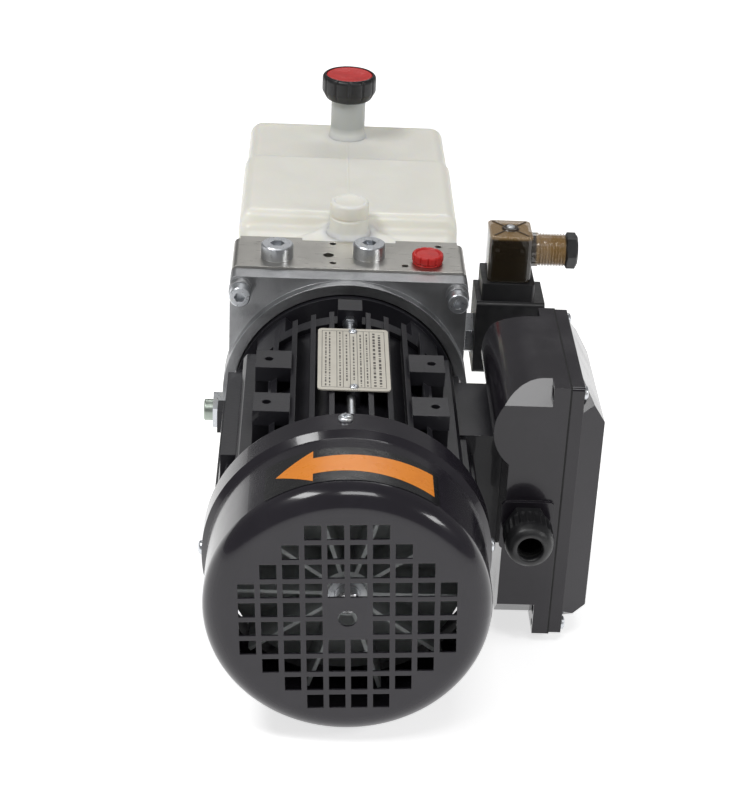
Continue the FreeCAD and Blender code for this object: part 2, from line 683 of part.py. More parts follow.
def shield_arm(degrees):
    """One of the four diagonal arms of the bell."""
    turn = Rotation(Vector(0, 1, 0), -degrees)
    arm = doc.addObject("Part::Box", "arm")
    bind(arm, "Length", S.drive_ring_radius - S.drive_cone_radius * 0.8)
    bind(arm, "Width", S.drive_shield_depth - S.drive_flange / 2)
    bind(arm, "Height", S.shield_arm)
    out = turn.multVec(Vector(0.8, 0, 0))
    down = turn.multVec(Vector(0, 0, -0.5))
    x = S.drive_cone_radius * out.x + S.shield_arm * down.x
    z = axis + S.drive_cone_radius * out.z + S.shield_arm * down.z
    arm = place(arm, (x, shield_front, z), turn)
    return common(arm, rod((0, shield_front, axis), S.drive_ring_radius, S.drive_shield_depth))


def tie_lug(degrees):
    """A lug that one tie bolt passes through."""
    turn = Rotation(Vector(0, 1, 0), -degrees)
    lug = doc.addObject("Part::Box", "lug")
    inner = S.frame_core_radius + S.run_gap
    bind(lug, "Length", S.tie_lug_top - inner)
    bind(lug, "Width", S.tie_lug_front + S.drive_ring)
    bind(lug, "Height", S.tie_lug_half_width * 2)
    out = turn.multVec(Vector(1, 0, 0))
    down = turn.multVec(Vector(0, 0, -1))
    x = inner * out.x + S.tie_lug_half_width * down.x
    z = axis + inner * out.z + S.tie_lug_half_width * down.z
    return place(lug, (x, shield_front - S.tie_lug_front, z), turn)


def make_tie_bolts():
    """Four long screws that pull the two shields onto the frame."""
    bolts = []
    back = shield_front + S.drive_ring
    length = back - fan_shield_front
    for degrees in QUARTERS:
        across, up = polar(S.tie_circle, degrees)
        shank = rod((across, fan_shield_front, up), S.tie_radius, length)
        head = hexagon((across, back, up), S.tie_head_radius * 1.7, S.tie_head)
        nut_at = (across, shield_front - S.tie_lug_front - S.tie_head, up)
        nut = hexagon(nut_at, S.tie_head_radius * 1.7, S.tie_head)
        bolts.append(fuse(shank, head, nut))
    return node("tie_bolts", group(*bolts))


def make_stator():
    """The stator core pressed into the frame, and the winding heads at its two ends."""
    start = frame_front + (S.frame_length - S.rotor_length) / 2
    bore = S.rotor_radius + S.air_gap
    core = ring((0, start, axis), S.frame_bore_radius - S.seat_gap, bore, S.rotor_length)
    node("stator_core", core)
    ends = (start - S.winding_length, start + S.rotor_length)
    heads = [ring((0, at, axis), S.winding_outer, S.winding_inner, S.winding_length) for at in ends]
    node("stator_windings", group(*heads))


def make_rotor():
    """The rotor core on the stepped shaft."""
    start = frame_front + (S.frame_length - S.rotor_length) / 2
    bore = S.shaft_body_radius + S.shaft_gap
    node("rotor_core", ring((0, start, axis), S.rotor_radius, bore, S.rotor_length))
    journal = S.bearing_bore - S.shaft_gap
    fan_end = cowl_front + S.fan_end_setback
    body_start = frame_front - fan_end
    body_end = shield_front + S.shield_wall - fan_end
    coupling_start = body_end + S.bearing_width + 2
    total = shaft_end() - fan_end
    fan_seat = fan_shield_front - S.shield_wall - fan_end
    points = [(0, 0), (S.fan_seat_radius * 0.85, 0), (S.fan_seat_radius, 1), (S.fan_seat_radius, fan_seat)]
    points += [(journal, fan_seat), (journal, body_start), (S.shaft_body_radius, body_start)]
    points += [(S.shaft_body_radius, body_end), (journal, body_end), (journal, coupling_start)]
    points += [(S.shaft_end_radius, coupling_start), (S.shaft_end_radius, total), (0, total)]
    node("motor_shaft", turned(points, (0, fan_end, axis)))


def shaft_end():
    """Where the motor shaft ends, half way along the coupling."""
    return coupling_front() + S.coupling_overlap


def coupling_front():
    """The coupling's face towards the motor, just clear of the bearing seat's lip."""
    return adapter_front - S.drive_flange / 2


def make_bearings():
    """Two ball bearings: outer rings, inner rings and balls."""
    fan_at = frame_front - S.bearing_width
    drive_at = shield_front + S.shield_wall
    outer = []
    inner = []
    balls = []
    for start in (fan_at, drive_at):
        groove = torus_at(start + S.bearing_width / 2)
        blank = ring((0, start, axis), S.bearing_radius, S.outer_ring_bore, S.bearing_width)
        outer.append(cut(blank, groove))
        groove = torus_at(start + S.bearing_width / 2)
        blank = ring((0, start, axis), S.inner_ring_radius, S.bearing_bore, S.bearing_width)
        inner.append(cut(blank, groove))
        for number in range(int(float(S.ball_count))):
            across, up = polar(S.ball_circle, 360 * number / float(S.ball_count))
            balls.append(ball((across, start + S.bearing_width / 2, up), S.ball_radius))
    node("bearing_outer_rings", group(*outer))
    node("bearing_inner_rings", group(*inner))
    node("bearing_balls", group(*balls))


def torus_at(station):
    """The groove that a bearing's balls run in."""
    at = (0, station, axis)
    return primitive("Part::Torus", at, TO_Y, Radius1=S.ball_circle, Radius2=S.groove_radius)


def make_nameplate():
    """A thin plate on top of the frame with its two screws."""
    start = frame_front + S.nameplate_start
    half = S.nameplate_width / 2
    low = axis + S.plate_level
    wide = (S.nameplate_shift - half, S.nameplate_shift + half)
    sheet_metal = block(wide, (start, start + S.nameplate_length), (low, low + S.nameplate_thickness))
    sheet_metal = rounded(sheet_metal, 2, along(Vector(0, 0, 1)))
    stations = (start + S.rivet_inset, start + S.nameplate_length - S.rivet_inset)
    holes = [rod((S.nameplate_shift, at, low), S.small_shank + S.fit_gap, 2, TO_Z) for at in stations]
    node("nameplate", cut(sheet_metal, *holes))
    screws = []
    top = low + S.nameplate_thickness
    for at in stations:
        points = [(0, -S.rivet_length), (S.small_shank, -S.rivet_length), (S.small_shank, 0)]
        points += [(S.rivet_radius, 0), (S.rivet_radius * 0.8, S.rivet_head * 0.8)]
        points += [(S.rivet_radius * 0.3, S.rivet_head), (0, S.rivet_head)]
        screws.append(turned(points, (S.nameplate_shift, at, top), TO_Z))
    node("nameplate_screws", group(*screws))


# Terminal box


def box_outline(inset, start, end, split):
    """The box's solid, inset from its outside: a slab with a round hump at its top inner edge."""
    radius = S.hump_radius - inset
    low = axis - S.box_bottom + S.box_floor_lift + inset
    top = axis + S.box_top - inset
    hump = (S.hump_centre_out, start, axis + S.hump_centre_up)
    slab = block((S.box_inner + inset, split), (start, end), (low, axis + S.hump_centre_up))
    crown = block((S.hump_centre_out, split), (start, end), (axis + S.hump_centre_up, top))
    inner = S.hump_centre_out - S.hump_radius
    limits = block((inner, split), (start, end), (low, top))
    return fuse(slab, crown, common(rod(hump, radius, end - start), limits))


def make_terminal_box_base():
    """The cast base: hump for the capacitor, faceted corners, a flange and a cable entry."""
    flange_height = (axis - S.box_bottom, axis + S.box_top)
    flange = block((S.box_flange_start, S.box_split), (box_front, box_back), flange_height)
    body = cut(box_outline(0, box_front, box_back, S.box_split), *box_facets(0))
    entry = block((S.gland_out - S.entry_half_width, S.gland_out + S.entry_half_width),
                  (gland_face(), box_front),
                  (axis - S.gland_down - S.entry_rise, axis - S.gland_down + S.entry_rise))
    entry = rounded(entry, S.box_wall, along(Vector(0, 1, 0)))
    cavity_front = box_front + S.box_wall
    cavity_back = box_back - S.box_wall
    cavity = box_outline(S.box_wall, cavity_front, cavity_back, S.box_split)
    cavity = cut(cavity, *box_facets(S.box_wall))
    middle = frame_front + S.neck_start + S.neck_length / 2
    wires = (S.box_inner, middle, axis + S.gland_down * 6)
    tools = [cavity, rod(wires, S.wire_hole_radius, S.box_wall * 2, TO_X)]
    hole = S.gland_thread + S.fit_gap
    tools.append(rod(gland_point(gland_face()), hole, S.box_wall * 2, TO_Y))
    tools += lid_screw_holes(S.box_split - S.box_wall * 3, S.box_wall * 3)
    return node("terminal_box_base", cut(fuse(flange, body, entry), *tools))


def corner_cutters(start, end, low, facet):
    """Four bars along X that take a flat off each corner of the box."""
    side = facet * math.sqrt(2)
    tools = []
    for station in (box_front, box_back):
        for height in (low, axis + S.box_top):
            cutter = doc.addObject("Part::Box", "facet")
            bind(cutter, "Length", end - start)
            bind(cutter, "Width", side)
            bind(cutter, "Height", side)
            at = (start, station, height - facet)
            tools.append(place(cutter, at, Rotation(Vector(1, 0, 0), 45)))
    return tools


def box_facets(inset):
    """Cutters for the base's corners, short of its flange, or for the cavity inside them."""
    low = axis - S.box_bottom + S.box_floor_lift
    facet = S.box_facet + inset * math.sqrt(2)
    inner = S.hump_centre_out - S.hump_radius
    return corner_cutters(inner, S.box_flange_start, low, facet)


def lid_screw_places():
    """The four corners of the lid's flange, as Y and Z."""
    inset = S.lid_screw_inset
    stations = (box_front + inset, box_back - inset)
    heights = (axis - S.box_bottom + inset, axis + S.box_top - inset)
    return [(station, height) for station in stations for height in heights]


def lid_screw_holes(start, length):
    """Holes along X for the four lid screws."""
    hole = S.small_shank + S.fit_gap
    return [rod((start, at, up), hole, length, TO_X) for at, up in lid_screw_places()]


def make_terminal_box_gasket():
    """A flat rubber frame between base and lid."""
    high = (axis - S.box_bottom, axis + S.box_top)
    wide = (S.box_split, S.box_split + S.gasket_thickness)
    sheet_rubber = block(wide, (box_front, box_back), high)
    inner = S.box_wall
    low = axis - S.box_bottom + S.box_floor_lift + inner
    span = (box_front + inner, box_back - inner)
    opening = block(wide, span, (low, axis + S.box_top - inner))
    holes = lid_screw_holes(S.box_split, S.gasket_thickness)
    return node("terminal_box_gasket", cut(sheet_rubber, opening, *holes))


def lid_dome(inset, start, face):
    """The lid's drafted dome, from its flange to its flat face."""
    middle = (box_front + box_back) / 2
    half = S.box_length / 2 - inset
    low = -S.box_bottom + S.lid_foot_drop + inset
    dome = doc.addObject("Part::Wedge", "dome")
    sizes = {
        "Xmin": -half, "Xmax": half, "X2min": S.lid_draft - half, "X2max": half - S.lid_draft,
        "Ymin": sized(0), "Ymax": face - start, "Zmin": low, "Zmax": S.box_top - inset,
        "Z2min": inset - S.lid_face_bottom, "Z2max": S.lid_face_top - inset,
    }
    for name, size in sizes.items():
        bind(dome, name, size)
    return place(dome, (start, middle, axis), Rotation(Vector(0, 0, 1), -90))


def make_terminal_box_lid():
    """The lid: a flange with corner screws and a drafted, hollow dome."""
    start = S.box_split + S.gasket_thickness
    flange_end = S.box_split + S.lid_flange
    high = (axis - S.box_bottom, axis + S.box_top)
    flange = block((start, flange_end), (box_front, box_back), high)
    flange = rounded(flange, 2, along(Vector(1, 0, 0)))
    low = axis - S.box_bottom
    corners = corner_cutters(flange_end, S.lid_face, low, S.lid_facet)
    outside = cut(lid_dome(S.lid_rim, flange_end, S.lid_face), *corners)
    inner = S.box_wall
    low = axis - S.box_bottom + S.box_floor_lift + inner
    span = (box_front + inner, box_back - inner)
    mouth = block((start, flange_end), span, (low, axis + S.box_top - inner))
    inside_corners = corner_cutters(flange_end, S.lid_face, axis - S.box_bottom,
                                    S.lid_facet + S.lid_wall * math.sqrt(2))
    cavity = lid_dome(S.box_wall + S.lid_wall, flange_end, S.lid_face - S.lid_wall)
    cavity = cut(cavity, *inside_corners)
    holes = lid_screw_holes(start, S.lid_flange)
    return node("terminal_box_lid", cut(fuse(flange, outside), mouth, cavity, *holes))


def make_lid_screws():
    """Four pan-head screws through the lid's corners."""
    face = S.box_split + S.lid_flange
    length = S.lid_flange + S.box_wall * 2
    screws = [pan_screw((face, at, up), length, TO_X) for at, up in lid_screw_places()]
    return node("lid_screws", group(*screws))


def make_terminal_box_inside():
    """The run capacitor in the hump, and the terminal board with its studs."""
    start = box_front + S.capacitor_inset
    centre = (S.hump_centre_out, start, axis + S.hump_centre_up - S.run_gap)
    can = rod(centre, S.hump_radius - S.box_wall - S.run_gap * 2, S.capacitor_length)
    node("run_capacitor", cut(can, rod(centre, S.stud_radius * 2, S.box_wall)))
    low = axis - S.board_height
    face = S.box_inner + S.box_wall
    station = box_front + S.board_start
    span = (station, station + S.board_length)
    board = block((face, face + S.board_thickness), span, (low, low + S.board_height))
    holes = []
    studs = []
    end = face + S.board_thickness
    for row in (0.25, 0.75):
        for column in (1, 3, 5):
            at = station + S.board_length * column / 6
            up = low + S.board_height * row
            foot = S.board_thickness / 2
            holes.append(rod((end - foot, at, up), S.stud_radius + S.fit_gap, foot, TO_X))
            shank = rod((end - foot, at, up), S.stud_radius, foot + S.stud_length, TO_X)
            nut = hexagon((end, at, up), S.stud_nut_radius * 1.8, S.stud_nut, TO_X)
            studs.append(fuse(shank, nut))
    node("terminal_board", cut(board, *holes))
    node("terminal_studs", group(*studs))


def gland_point(station):
    """The cable gland's axis at one station on Y."""
    return (S.gland_out, station, axis - S.gland_down)


def gland_face():
    """The raised pad that the gland's hexagon sits on."""
    return box_front - S.entry_pad


def make_cable_gland():
    """The gland in the box's fan-side wall: threaded body, sealing ring and dome nut."""
    hex_face = gland_face() - S.gland_hex_length
    inner = S.gland_hole + S.gland_wall
    tail = S.box_wall * 2
    collar = hexagon(gland_point(hex_face), S.gland_hex, S.gland_hex_length)
    thread = rod(gland_point(gland_face()), S.gland_thread, tail)
    nose = rod(gland_point(hex_face - S.gland_nut_length * 0.6), inner, S.gland_nut_length * 0.6)
    length = tail + S.gland_hex_length + S.gland_nut_length * 0.6
    start = hex_face - S.gland_nut_length * 0.6
    bore = rod(gland_point(start), S.gland_hole, length)
    node("cable_gland_body", cut(fuse(collar, thread, nose), bore))
    back = inner + S.shaft_gap
    nut = S.gland_nut_radius
    deep = S.gland_nut_length * 0.6 + S.run_gap
    face = S.gland_nut_length
    seal_end = deep + S.gland_nut_length * 0.2
    points = [(back, 0), (nut * 0.96, 0), (nut, face * 0.1), (nut, face * 0.55)]
    points += [(nut * 0.94, face * 0.75), (nut * 0.8, face * 0.92), (nut * 0.68, face)]
    points += [(S.gland_hole, face), (S.gland_hole, seal_end), (back, seal_end)]
    dome = turned(points, gland_point(hex_face - S.side_gap), TO_MINUS_Y)
    grips = []
    for number in range(12):
        angle = math.radians(30 * number + 15)
        x = S.gland_out + nut * 1.03 * math.cos(angle)
        z = axis - S.gland_down + nut * 1.03 * math.sin(angle)
        at = (x, hex_face - S.gland_nut_length * 0.6, z)
        grips.append(rod(at, S.gland_wall * 0.3, S.gland_nut_length * 0.6))
    node("cable_gland_nut", cut(dome, *grips))
    seal_at = gland_point(hex_face - seal_end + S.side_gap)
    seal_length = seal_end - deep - S.side_gap
    node("cable_gland_seal", ring(seal_at, inner, S.gland_hole, seal_length))


# Adapter and valve block


def make_motor_adapter():
    """The die-cast adapter: a square plate with a round lip that the motor flange sits in."""
    half = S.adapter_half_width
    plate = block((-half, half), (adapter_front, manifold_front), (axis - half, axis + S.adapter_top))
    plate = rounded(plate, S.manifold_edge, along(Vector(0, 1, 0)))
    lip = rod((0, adapter_front - S.adapter_ring_lip, axis), S.adapter_ring_outer,
              S.adapter_ring_lip + S.adapter_plate)
    seat = rod((0, adapter_front - S.adapter_ring_lip, axis), S.adapter_ring_inner, S.adapter_ring_lip)
    bore = rod((0, adapter_front, axis), S.adapter_bore, S.adapter_plate)
    tools = [seat, bore]
    bosses = []
    for across, up in four_corners(S.adapter_bolt_wide, S.adapter_bolt_high):
        start = (across, adapter_front - S.bolt_boss, up)
        length = S.bolt_boss + S.adapter_plate
        bosses.append(rod(start, S.bolt_boss_radius, S.bolt_boss))
        tools.append(rod(start, S.bolt_shank + S.fit_gap, length))
    return node("motor_adapter", cut(fuse(plate, lip, *bosses), *tools))


def make_adapter_bolts():
    """Four cap screws from the adapter into the valve block."""
    bolts = []
    sizes = (S.bolt_shank, S.bolt_head, S.bolt_head_height, S.bolt_length, S.bolt_socket)
    for across, up in four_corners(S.adapter_bolt_wide, S.adapter_bolt_high):
        at = (across, adapter_front - S.bolt_boss, up)
        bolts.append(socket_screw(at, *sizes, TO_MINUS_Y))
    return node("adapter_bolts", group(*bolts))


# Places on top of the block: across, then from the block's front face
PLUGS = (("first_plug", -45.5, 16.6), ("second_plug", 12.5, 22))
RED_PORT = (49.3, 14.5)
GAUGE_HOLES = ((-10.4, 39), (-10.4, 9), (35, 8), (57.4, 39.6))
LARGE_GAUGE_HOLE = (-13.2, 21)


def on_top(across, setback):
    """A point on the block's top face."""
    return (sized(across), manifold_front + setback, manifold_top)


def make_manifold_block():
    """The aluminium valve block with its ports, valve bores, spigot and mounting holes."""
    half = S.manifold_half_width
    body = block((-half, half), (manifold_front, manifold_back), (sized(0), manifold_top))
    body = rounded(body, S.manifold_edge, along(Vector(0, 1, 0)))
    pieces = [body, spigot()]
    low = manifold_top - S.block_lug_height
    back = (manifold_back - S.block_lug_length, manifold_back + S.block_lug_length)
    for side in SIDES:
        edge = half - S.manifold_edge
        wide = tuple(sorted((side * S.block_lug_inner, side * edge), key=float))
        pieces.append(block(wide, back, (low, manifold_top)))
    return node("manifold_block", cut(fuse(*pieces), *manifold_holes()))


def spigot_half():
    """Half the width of the spigot that the tank's collar slips over."""
    return S.tank_half_width - S.tank_wall - S.run_gap


def spigot_heights(inset):
    """The spigot's lowest and highest Z, less an inset."""
    low = axis - S.collar_bottom + S.tank_wall + S.run_gap + inset
    high = axis + S.collar_top - S.tank_wall - S.run_gap - inset
    return (low, high)


def spigot():
    """The raised back of the block, with a groove for the tank seal."""
    half = spigot_half()
    solid = block((-half, half), (manifold_back, spigot_back), spigot_heights(0))
    solid = rounded(solid, S.collar_corner - S.tank_wall, along(Vector(0, 1, 0)))
    start = manifold_back + S.seal_line - S.fit_gap
    groove = seal_frame(S.seal_depth + S.fit_gap, start, S.seal_side + S.fit_gap * 2)
    return cut(solid, groove)


def seal_frame(depth, start, width):
    """A rectangular ring round the spigot, from its surface down to a depth."""
    half = spigot_half()
    proud = S.run_gap / 2
    low, high = spigot_heights(-proud)
    inner_low, inner_high = spigot_heights(depth)
    span = (start, start + width)
    outside = block((-half - proud, half + proud), span, (low, high))
    outside = rounded(outside, S.collar_corner - S.tank_wall + proud, along(Vector(0, 1, 0)))
    inside = block((depth - half, half - depth), span, (inner_low, inner_high))
    return cut(outside, inside)


def manifold_holes():
    """Every hole in the valve block."""
    holes = []
    for across in SIDES:
        for deep in SIDES:
            at = (across * S.base_spacing_wide / 2, deep * S.base_spacing_deep / 2, sized(0))
            holes.append(rod(at, S.base_hole_radius, S.base_hole_deep, TO_Z))
    for _, across, setback in PLUGS:
        holes.append(rod(on_top(across, setback), S.port_radius, S.port_deep, TO_MINUS_Z))
    holes.append(rod(on_top(*RED_PORT), S.port_radius, S.port_deep, TO_MINUS_Z))
    for place_on_top in GAUGE_HOLES:
        holes.append(rod(on_top(*place_on_top), S.gauge_hole_radius, S.gauge_hole_deep, TO_MINUS_Z))
    large = S.gauge_hole_radius * 1.6
    holes.append(rod(on_top(*LARGE_GAUGE_HOLE), large, S.gauge_hole_deep, TO_MINUS_Z))
    seal_front = seal_start()
    holes.append(rod((0, manifold_front, axis), S.coupling_bore, seal_front - manifold_front))
    holes.append(rod((0, seal_front, axis), S.seal_bore, S.seal_width + S.run_gap))
    holes.append(rod((0, seal_front, axis), S.pump_shaft_radius + S.run_gap, spigot_back - seal_front))
    for across, up in four_corners(S.adapter_bolt_wide, S.adapter_bolt_high):
        deep = S.bolt_length - S.bolt_boss - S.adapter_plate + S.bolt_spare
        holes.append(rod((across, manifold_front, up), S.bolt_shank + S.fit_gap, deep))
    half = S.manifold_half_width
    valve = (half, valve_line, axis + S.valve_up)
    holes.append(rod(valve, S.valve_nose_radius + S.fit_gap, S.valve_nose + 2, TO_MINUS_X))
    relief = (-half, valve_line, axis - S.relief_down)
    holes.append(rod(relief, S.relief_thread + S.fit_gap, S.relief_reach + 2, TO_X))
    for at in pump_bolt_places():
        deep = S.pump_bolt_in + 1
        hole = S.pump_bolt_shank + S.fit_gap
        holes.append(rod((at[0], spigot_back - deep, at[1]), hole, deep))
    line = (S.return_wide, spigot_back - S.return_seat, axis + S.return_up)
    holes.append(rod(line, S.return_radius + S.fit_gap, S.return_seat))
    for side in SIDES:
        for up in SIDES:
            at = (side * spigot_half(), manifold_back + S.tank_screw_line, axis + up * S.tank_screw_up)
            turn = TO_X if side < 0 else TO_MINUS_X
            holes.append(rod(at, S.small_shank + S.fit_gap, S.tank_screw_length, turn))
    return holes


def seal_start():
    """The step in the block's bore that the shaft seal sits behind."""
    return manifold_back - S.seal_setback - S.seal_width


def make_port_plugs():
    """Two steel plugs with a round collar and a hexagon socket."""
    plugs = []
    shank = S.port_radius - S.fit_gap
    for _, across, setback in PLUGS:
        sizes = (shank, S.plug_collar_radius, S.plug_collar_height, S.port_deep - 2)
        at = on_top(across, setback)
        plugs.append(socket_screw(at, *sizes, S.plug_socket_flats, TO_Z))
    return node("port_plugs", group(*plugs))


def make_red_port_cap():
    """A push-in plastic cap with a scalloped head."""
    at = on_top(*RED_PORT)
    skirt = S.port_radius - S.shaft_gap
    high = S.red_cap_height
    head = S.red_cap_radius
    points = [(0, 0), (skirt * 0.8, 0), (skirt * 0.8, -S.red_cap_skirt), (skirt, -S.red_cap_skirt)]
    points += [(skirt, 0), (head, 0), (head, high * 0.88), (head * 0.93, high)]
    points += [(head * 0.72, high), (head * 0.68, high * 0.8), (0, high * 0.8)]
    cap = turned(points, at, TO_Z)
    notches = []
    for number in range(int(float(S.red_cap_notches))):
        angle = 2 * math.pi * number / float(S.red_cap_notches)
        x = at[0] + head * 1.03 * math.cos(angle)
        y = at[1] + head * 1.03 * math.sin(angle)
        notches.append(rod((x, y, at[2]), S.red_cap_notch_radius, high, TO_Z))
    return node("red_port_cap", cut(cap, *notches))


# Valves


def valve_point(out):
    """A point on the solenoid valve's axis, a distance out from the block's side."""
    return (S.manifold_half_width + out, valve_line, axis + S.valve_up)


def make_solenoid_valve():
    """The cartridge with its stem, the plunger, the coil and the coil's nut."""
    flush = sized(0)
    nose = rod(valve_point(-S.valve_nose), S.valve_nose_radius, S.valve_nose, TO_X)
    head = hexagon(valve_point(flush), S.valve_hex, S.valve_hex_length, TO_X)
    stem = rod(valve_point(flush), S.stem_radius, S.valve_hex_length + S.stem_length, TO_X)
    bore_start = S.valve_hex_length
    bore_length = S.plunger_length + S.plunger_travel + S.run_gap * 2
    bore = rod(valve_point(bore_start), S.stem_bore, bore_length, TO_X)
    node("valve_cartridge", cut(fuse(nose, head, stem), bore))
    plunger_start = bore_start + S.plunger_travel + S.run_gap
    plunger = rod(valve_point(plunger_start), S.stem_bore - S.plunger_gap, S.plunger_length, TO_X)
    plunger = cut(plunger, rod(valve_point(plunger_start), S.stem_bore * 0.4, S.plunger_length / 2, TO_X))
    node("valve_plunger", plunger)
    make_coil()
    start = S.valve_hex_length + S.coil_length
    nut = ring(valve_point(start), S.coil_nut_radius, S.stem_radius + S.shaft_gap, S.coil_nut, TO_X)
    grips = []
    for number in range(16):
        angle = 2 * math.pi * number / 16
        at = valve_point(start)
        y = at[1] + S.coil_nut_radius * 1.02 * math.cos(angle)
        z = at[2] + S.coil_nut_radius * 1.02 * math.sin(angle)
        grips.append(rod((at[0], y, z), S.plunger_travel * 0.25, S.coil_nut, TO_X))
    node("coil_nut", cut(nut, *grips))


def make_coil():
    """The moulded coil with the square base of its connector on top."""
    start = S.manifold_half_width + S.valve_hex_length
    half = S.coil_width / 2
    centre = axis + S.valve_up
    deep = (valve_line - half, valve_line + half)
    high = (centre - S.coil_bottom, centre + S.coil_top)
    body = rounded(block((start, start + S.coil_length), deep, high), S.coil_edge,
                   along(Vector(1, 0, 0)))
    base_half = S.connector_base_width / 2
    base_start = start + S.connector_base_start
    top = centre + S.coil_top
    wide = (base_start, base_start + S.connector_base_length)
    overlap = S.coil_edge
    base = block(wide, (valve_line - base_half, valve_line + base_half),
                 (top - overlap, top + S.connector_base_height))
    base = rounded(base, S.coil_edge / 2, along(Vector(0, 0, 1)))
    hole = rod(valve_point(S.valve_hex_length), S.stem_radius + S.shaft_gap, S.coil_length, TO_X)
    node("solenoid_coil", cut(fuse(body, base), hole))


def hood_corner():
    """The connector hood's lowest corner: its X and Z."""
    start = S.manifold_half_width + S.valve_hex_length + S.hood_start
    low = axis + S.valve_up + S.coil_top + S.connector_base_height
    return start, low


def hood_neck(out):
    """A point on the axis of the hood's cable neck, a distance past the hood."""
    start, low = hood_corner()
    return (start + S.hood_length + out, valve_line, low + S.hood_neck_rise)


def make_connector():
    """The clear plug on the coil: hood, terminal insert, centre screw and gland nut."""
    start, low = hood_corner()
    half = S.hood_width / 2
    wall = S.hood_wall
    wide = (start, start + S.hood_length)
    deep = (valve_line - half, valve_line + half)
    shell = block(wide, deep, (low, low + S.hood_height))
    shell = rounded(shell, S.hood_edge, along(Vector(0, 0, 1)))
    flush = sized(0)
    neck = rod(hood_neck(-wall), S.hood_neck_radius, S.hood_neck_length + wall, TO_X)
    inner_wide = (wide[0] + wall, wide[1] - wall)
    inner_deep = (deep[0] + wall, deep[1] - wall)
    cavity = block(inner_wide, inner_deep, (low, low + S.hood_height - wall))
    neck_bore = rod(hood_neck(-wall), S.hood_neck_radius - wall, S.hood_neck_length + wall, TO_X)
    middle = (start + S.hood_length / 2, valve_line, low + S.hood_height - wall)
    screw_hole = rod(middle, S.hood_screw + S.fit_gap, wall, TO_Z)
    node("connector_hood", cut(fuse(shell, neck), cavity, neck_bore, screw_hole))
    gap = S.fit_gap
    insert = block((inner_wide[0] + gap, inner_wide[1] - gap),
                   (inner_deep[0] + gap, inner_deep[1] - gap), (low, low + S.insert_height))
    cable_room = rod(hood_neck(-S.hood_length / 3), S.hood_neck_radius - wall, S.hood_length / 3, TO_X)
    pilot = rod((middle[0], middle[1], low), S.hood_screw + S.fit_gap, S.insert_height, TO_Z)
    node("connector_insert", cut(insert, cable_room, pilot))
    top = low + S.hood_height
    screw = [(0, S.hood_wall - S.hood_height), (S.hood_screw, S.hood_wall - S.hood_height)]
    screw += [(S.hood_screw, 0), (S.hood_screw_head, 0), (S.hood_screw_head, wall * 0.6)]
    screw += [(S.hood_screw_head * 0.8, wall), (0, wall)]
    slot_half = S.hood_screw * 0.25
    head = turned(screw, (middle[0], middle[1], top), TO_Z)
    slot = block((middle[0] - S.hood_screw_head, middle[0] + S.hood_screw_head),
                 (valve_line - slot_half, valve_line + slot_half), (top + wall * 0.5, top + wall))
    node("connector_screw", cut(head, slot))
    nut = hexagon(hood_neck(S.hood_neck_length), S.hood_nut_flats, S.hood_nut, TO_X)
    tail = rod(hood_neck(S.hood_neck_length * 0.5), S.hood_neck_radius - wall - S.run_gap,
               S.hood_neck_length * 0.5 + S.side_gap * 2, TO_X)
    bore = rod(hood_neck(S.hood_neck_length * 0.5), S.hood_cable_hole,
               S.hood_neck_length * 0.5 + S.side_gap * 2 + S.hood_nut, TO_X)
    shifted = place(nut, hood_neck(S.hood_neck_length + S.side_gap), TO_X)
    node("connector_gland_nut", cut(fuse(shifted, tail), bore))


def relief_point(out):
    """A point on the relief valve's axis, a distance out from the block's -X side."""
    return (-S.manifold_half_width - out, valve_line, axis - S.relief_down)


def make_relief_valve():
    """The relief cartridge with its adjuster and its poppet."""
    head = hexagon(relief_point(sized(0)), S.relief_hex, S.relief_hex_length, TO_MINUS_X)
    nose = rod(relief_point(-S.relief_reach), S.relief_thread, S.relief_reach, TO_MINUS_X)
    stem_hole = S.adjuster_stem + S.plunger_gap
    bore_length = S.relief_reach + S.relief_hex_length
    stem_bore = rod(relief_point(-S.relief_reach), stem_hole, bore_length, TO_MINUS_X)
    room = S.poppet_length + S.poppet_travel + S.run_gap
    poppet_bore = rod(relief_point(-S.relief_reach), S.poppet_radius + S.plunger_gap, room, TO_MINUS_X)
    node("relief_valve_body", cut(fuse(head, nose), stem_bore, poppet_bore))
    face = S.relief_hex_length
    stub = rod(relief_point(face + S.side_gap), S.adjuster_radius, S.adjuster_head, TO_MINUS_X)
    stub = rounded(stub, S.adjuster_radius * 0.15,
                   circle_at(S.adjuster_radius, relief_point(face + S.side_gap + S.adjuster_head)[0], "x"))
    stem = rod(relief_point(face - S.adjuster_stem_length), S.adjuster_stem,
               S.adjuster_stem_length + S.side_gap, TO_MINUS_X)
    node("relief_adjuster", fuse(stub, stem))
    start = -S.relief_reach
    node("relief_poppet", rod(relief_point(start), S.poppet_radius, S.poppet_length, TO_MINUS_X))


# Pump


def make_coupling_and_seal():
    """The sleeve that joins motor and pump shafts, and the lip seal behind it."""
    start = coupling_front()
    outer = rod((0, start, axis), S.coupling_radius, S.coupling_length)
    outer = rounded(outer, 1, lambda edge: isinstance(edge.Curve, Part.Circle))
    motor_side = rod((0, start, axis), S.shaft_end_radius + S.shaft_gap, S.coupling_overlap)
    pump_side = rod((0, start, axis), S.pump_shaft_radius + S.shaft_gap, S.coupling_length)
    node("shaft_coupling", cut(outer, motor_side, pump_side))
    seal_at = (0, seal_start(), axis)
    inner = S.pump_shaft_radius + S.plunger_gap
    node("shaft_seal", ring(seal_at, S.seal_bore - S.shaft_gap, inner, S.seal_width))


def pump_front():
    """The pump body's face on the spigot."""
    return spigot_back


def pump_depth():
    """The pump body's depth: two bushes and the gears between them."""
    return S.bush_length * 2 + S.gear_width + S.side_gap * 2


def centre_distance():
    """How far apart the two gears' axes are."""
    return S.gear_teeth * S.gear_module


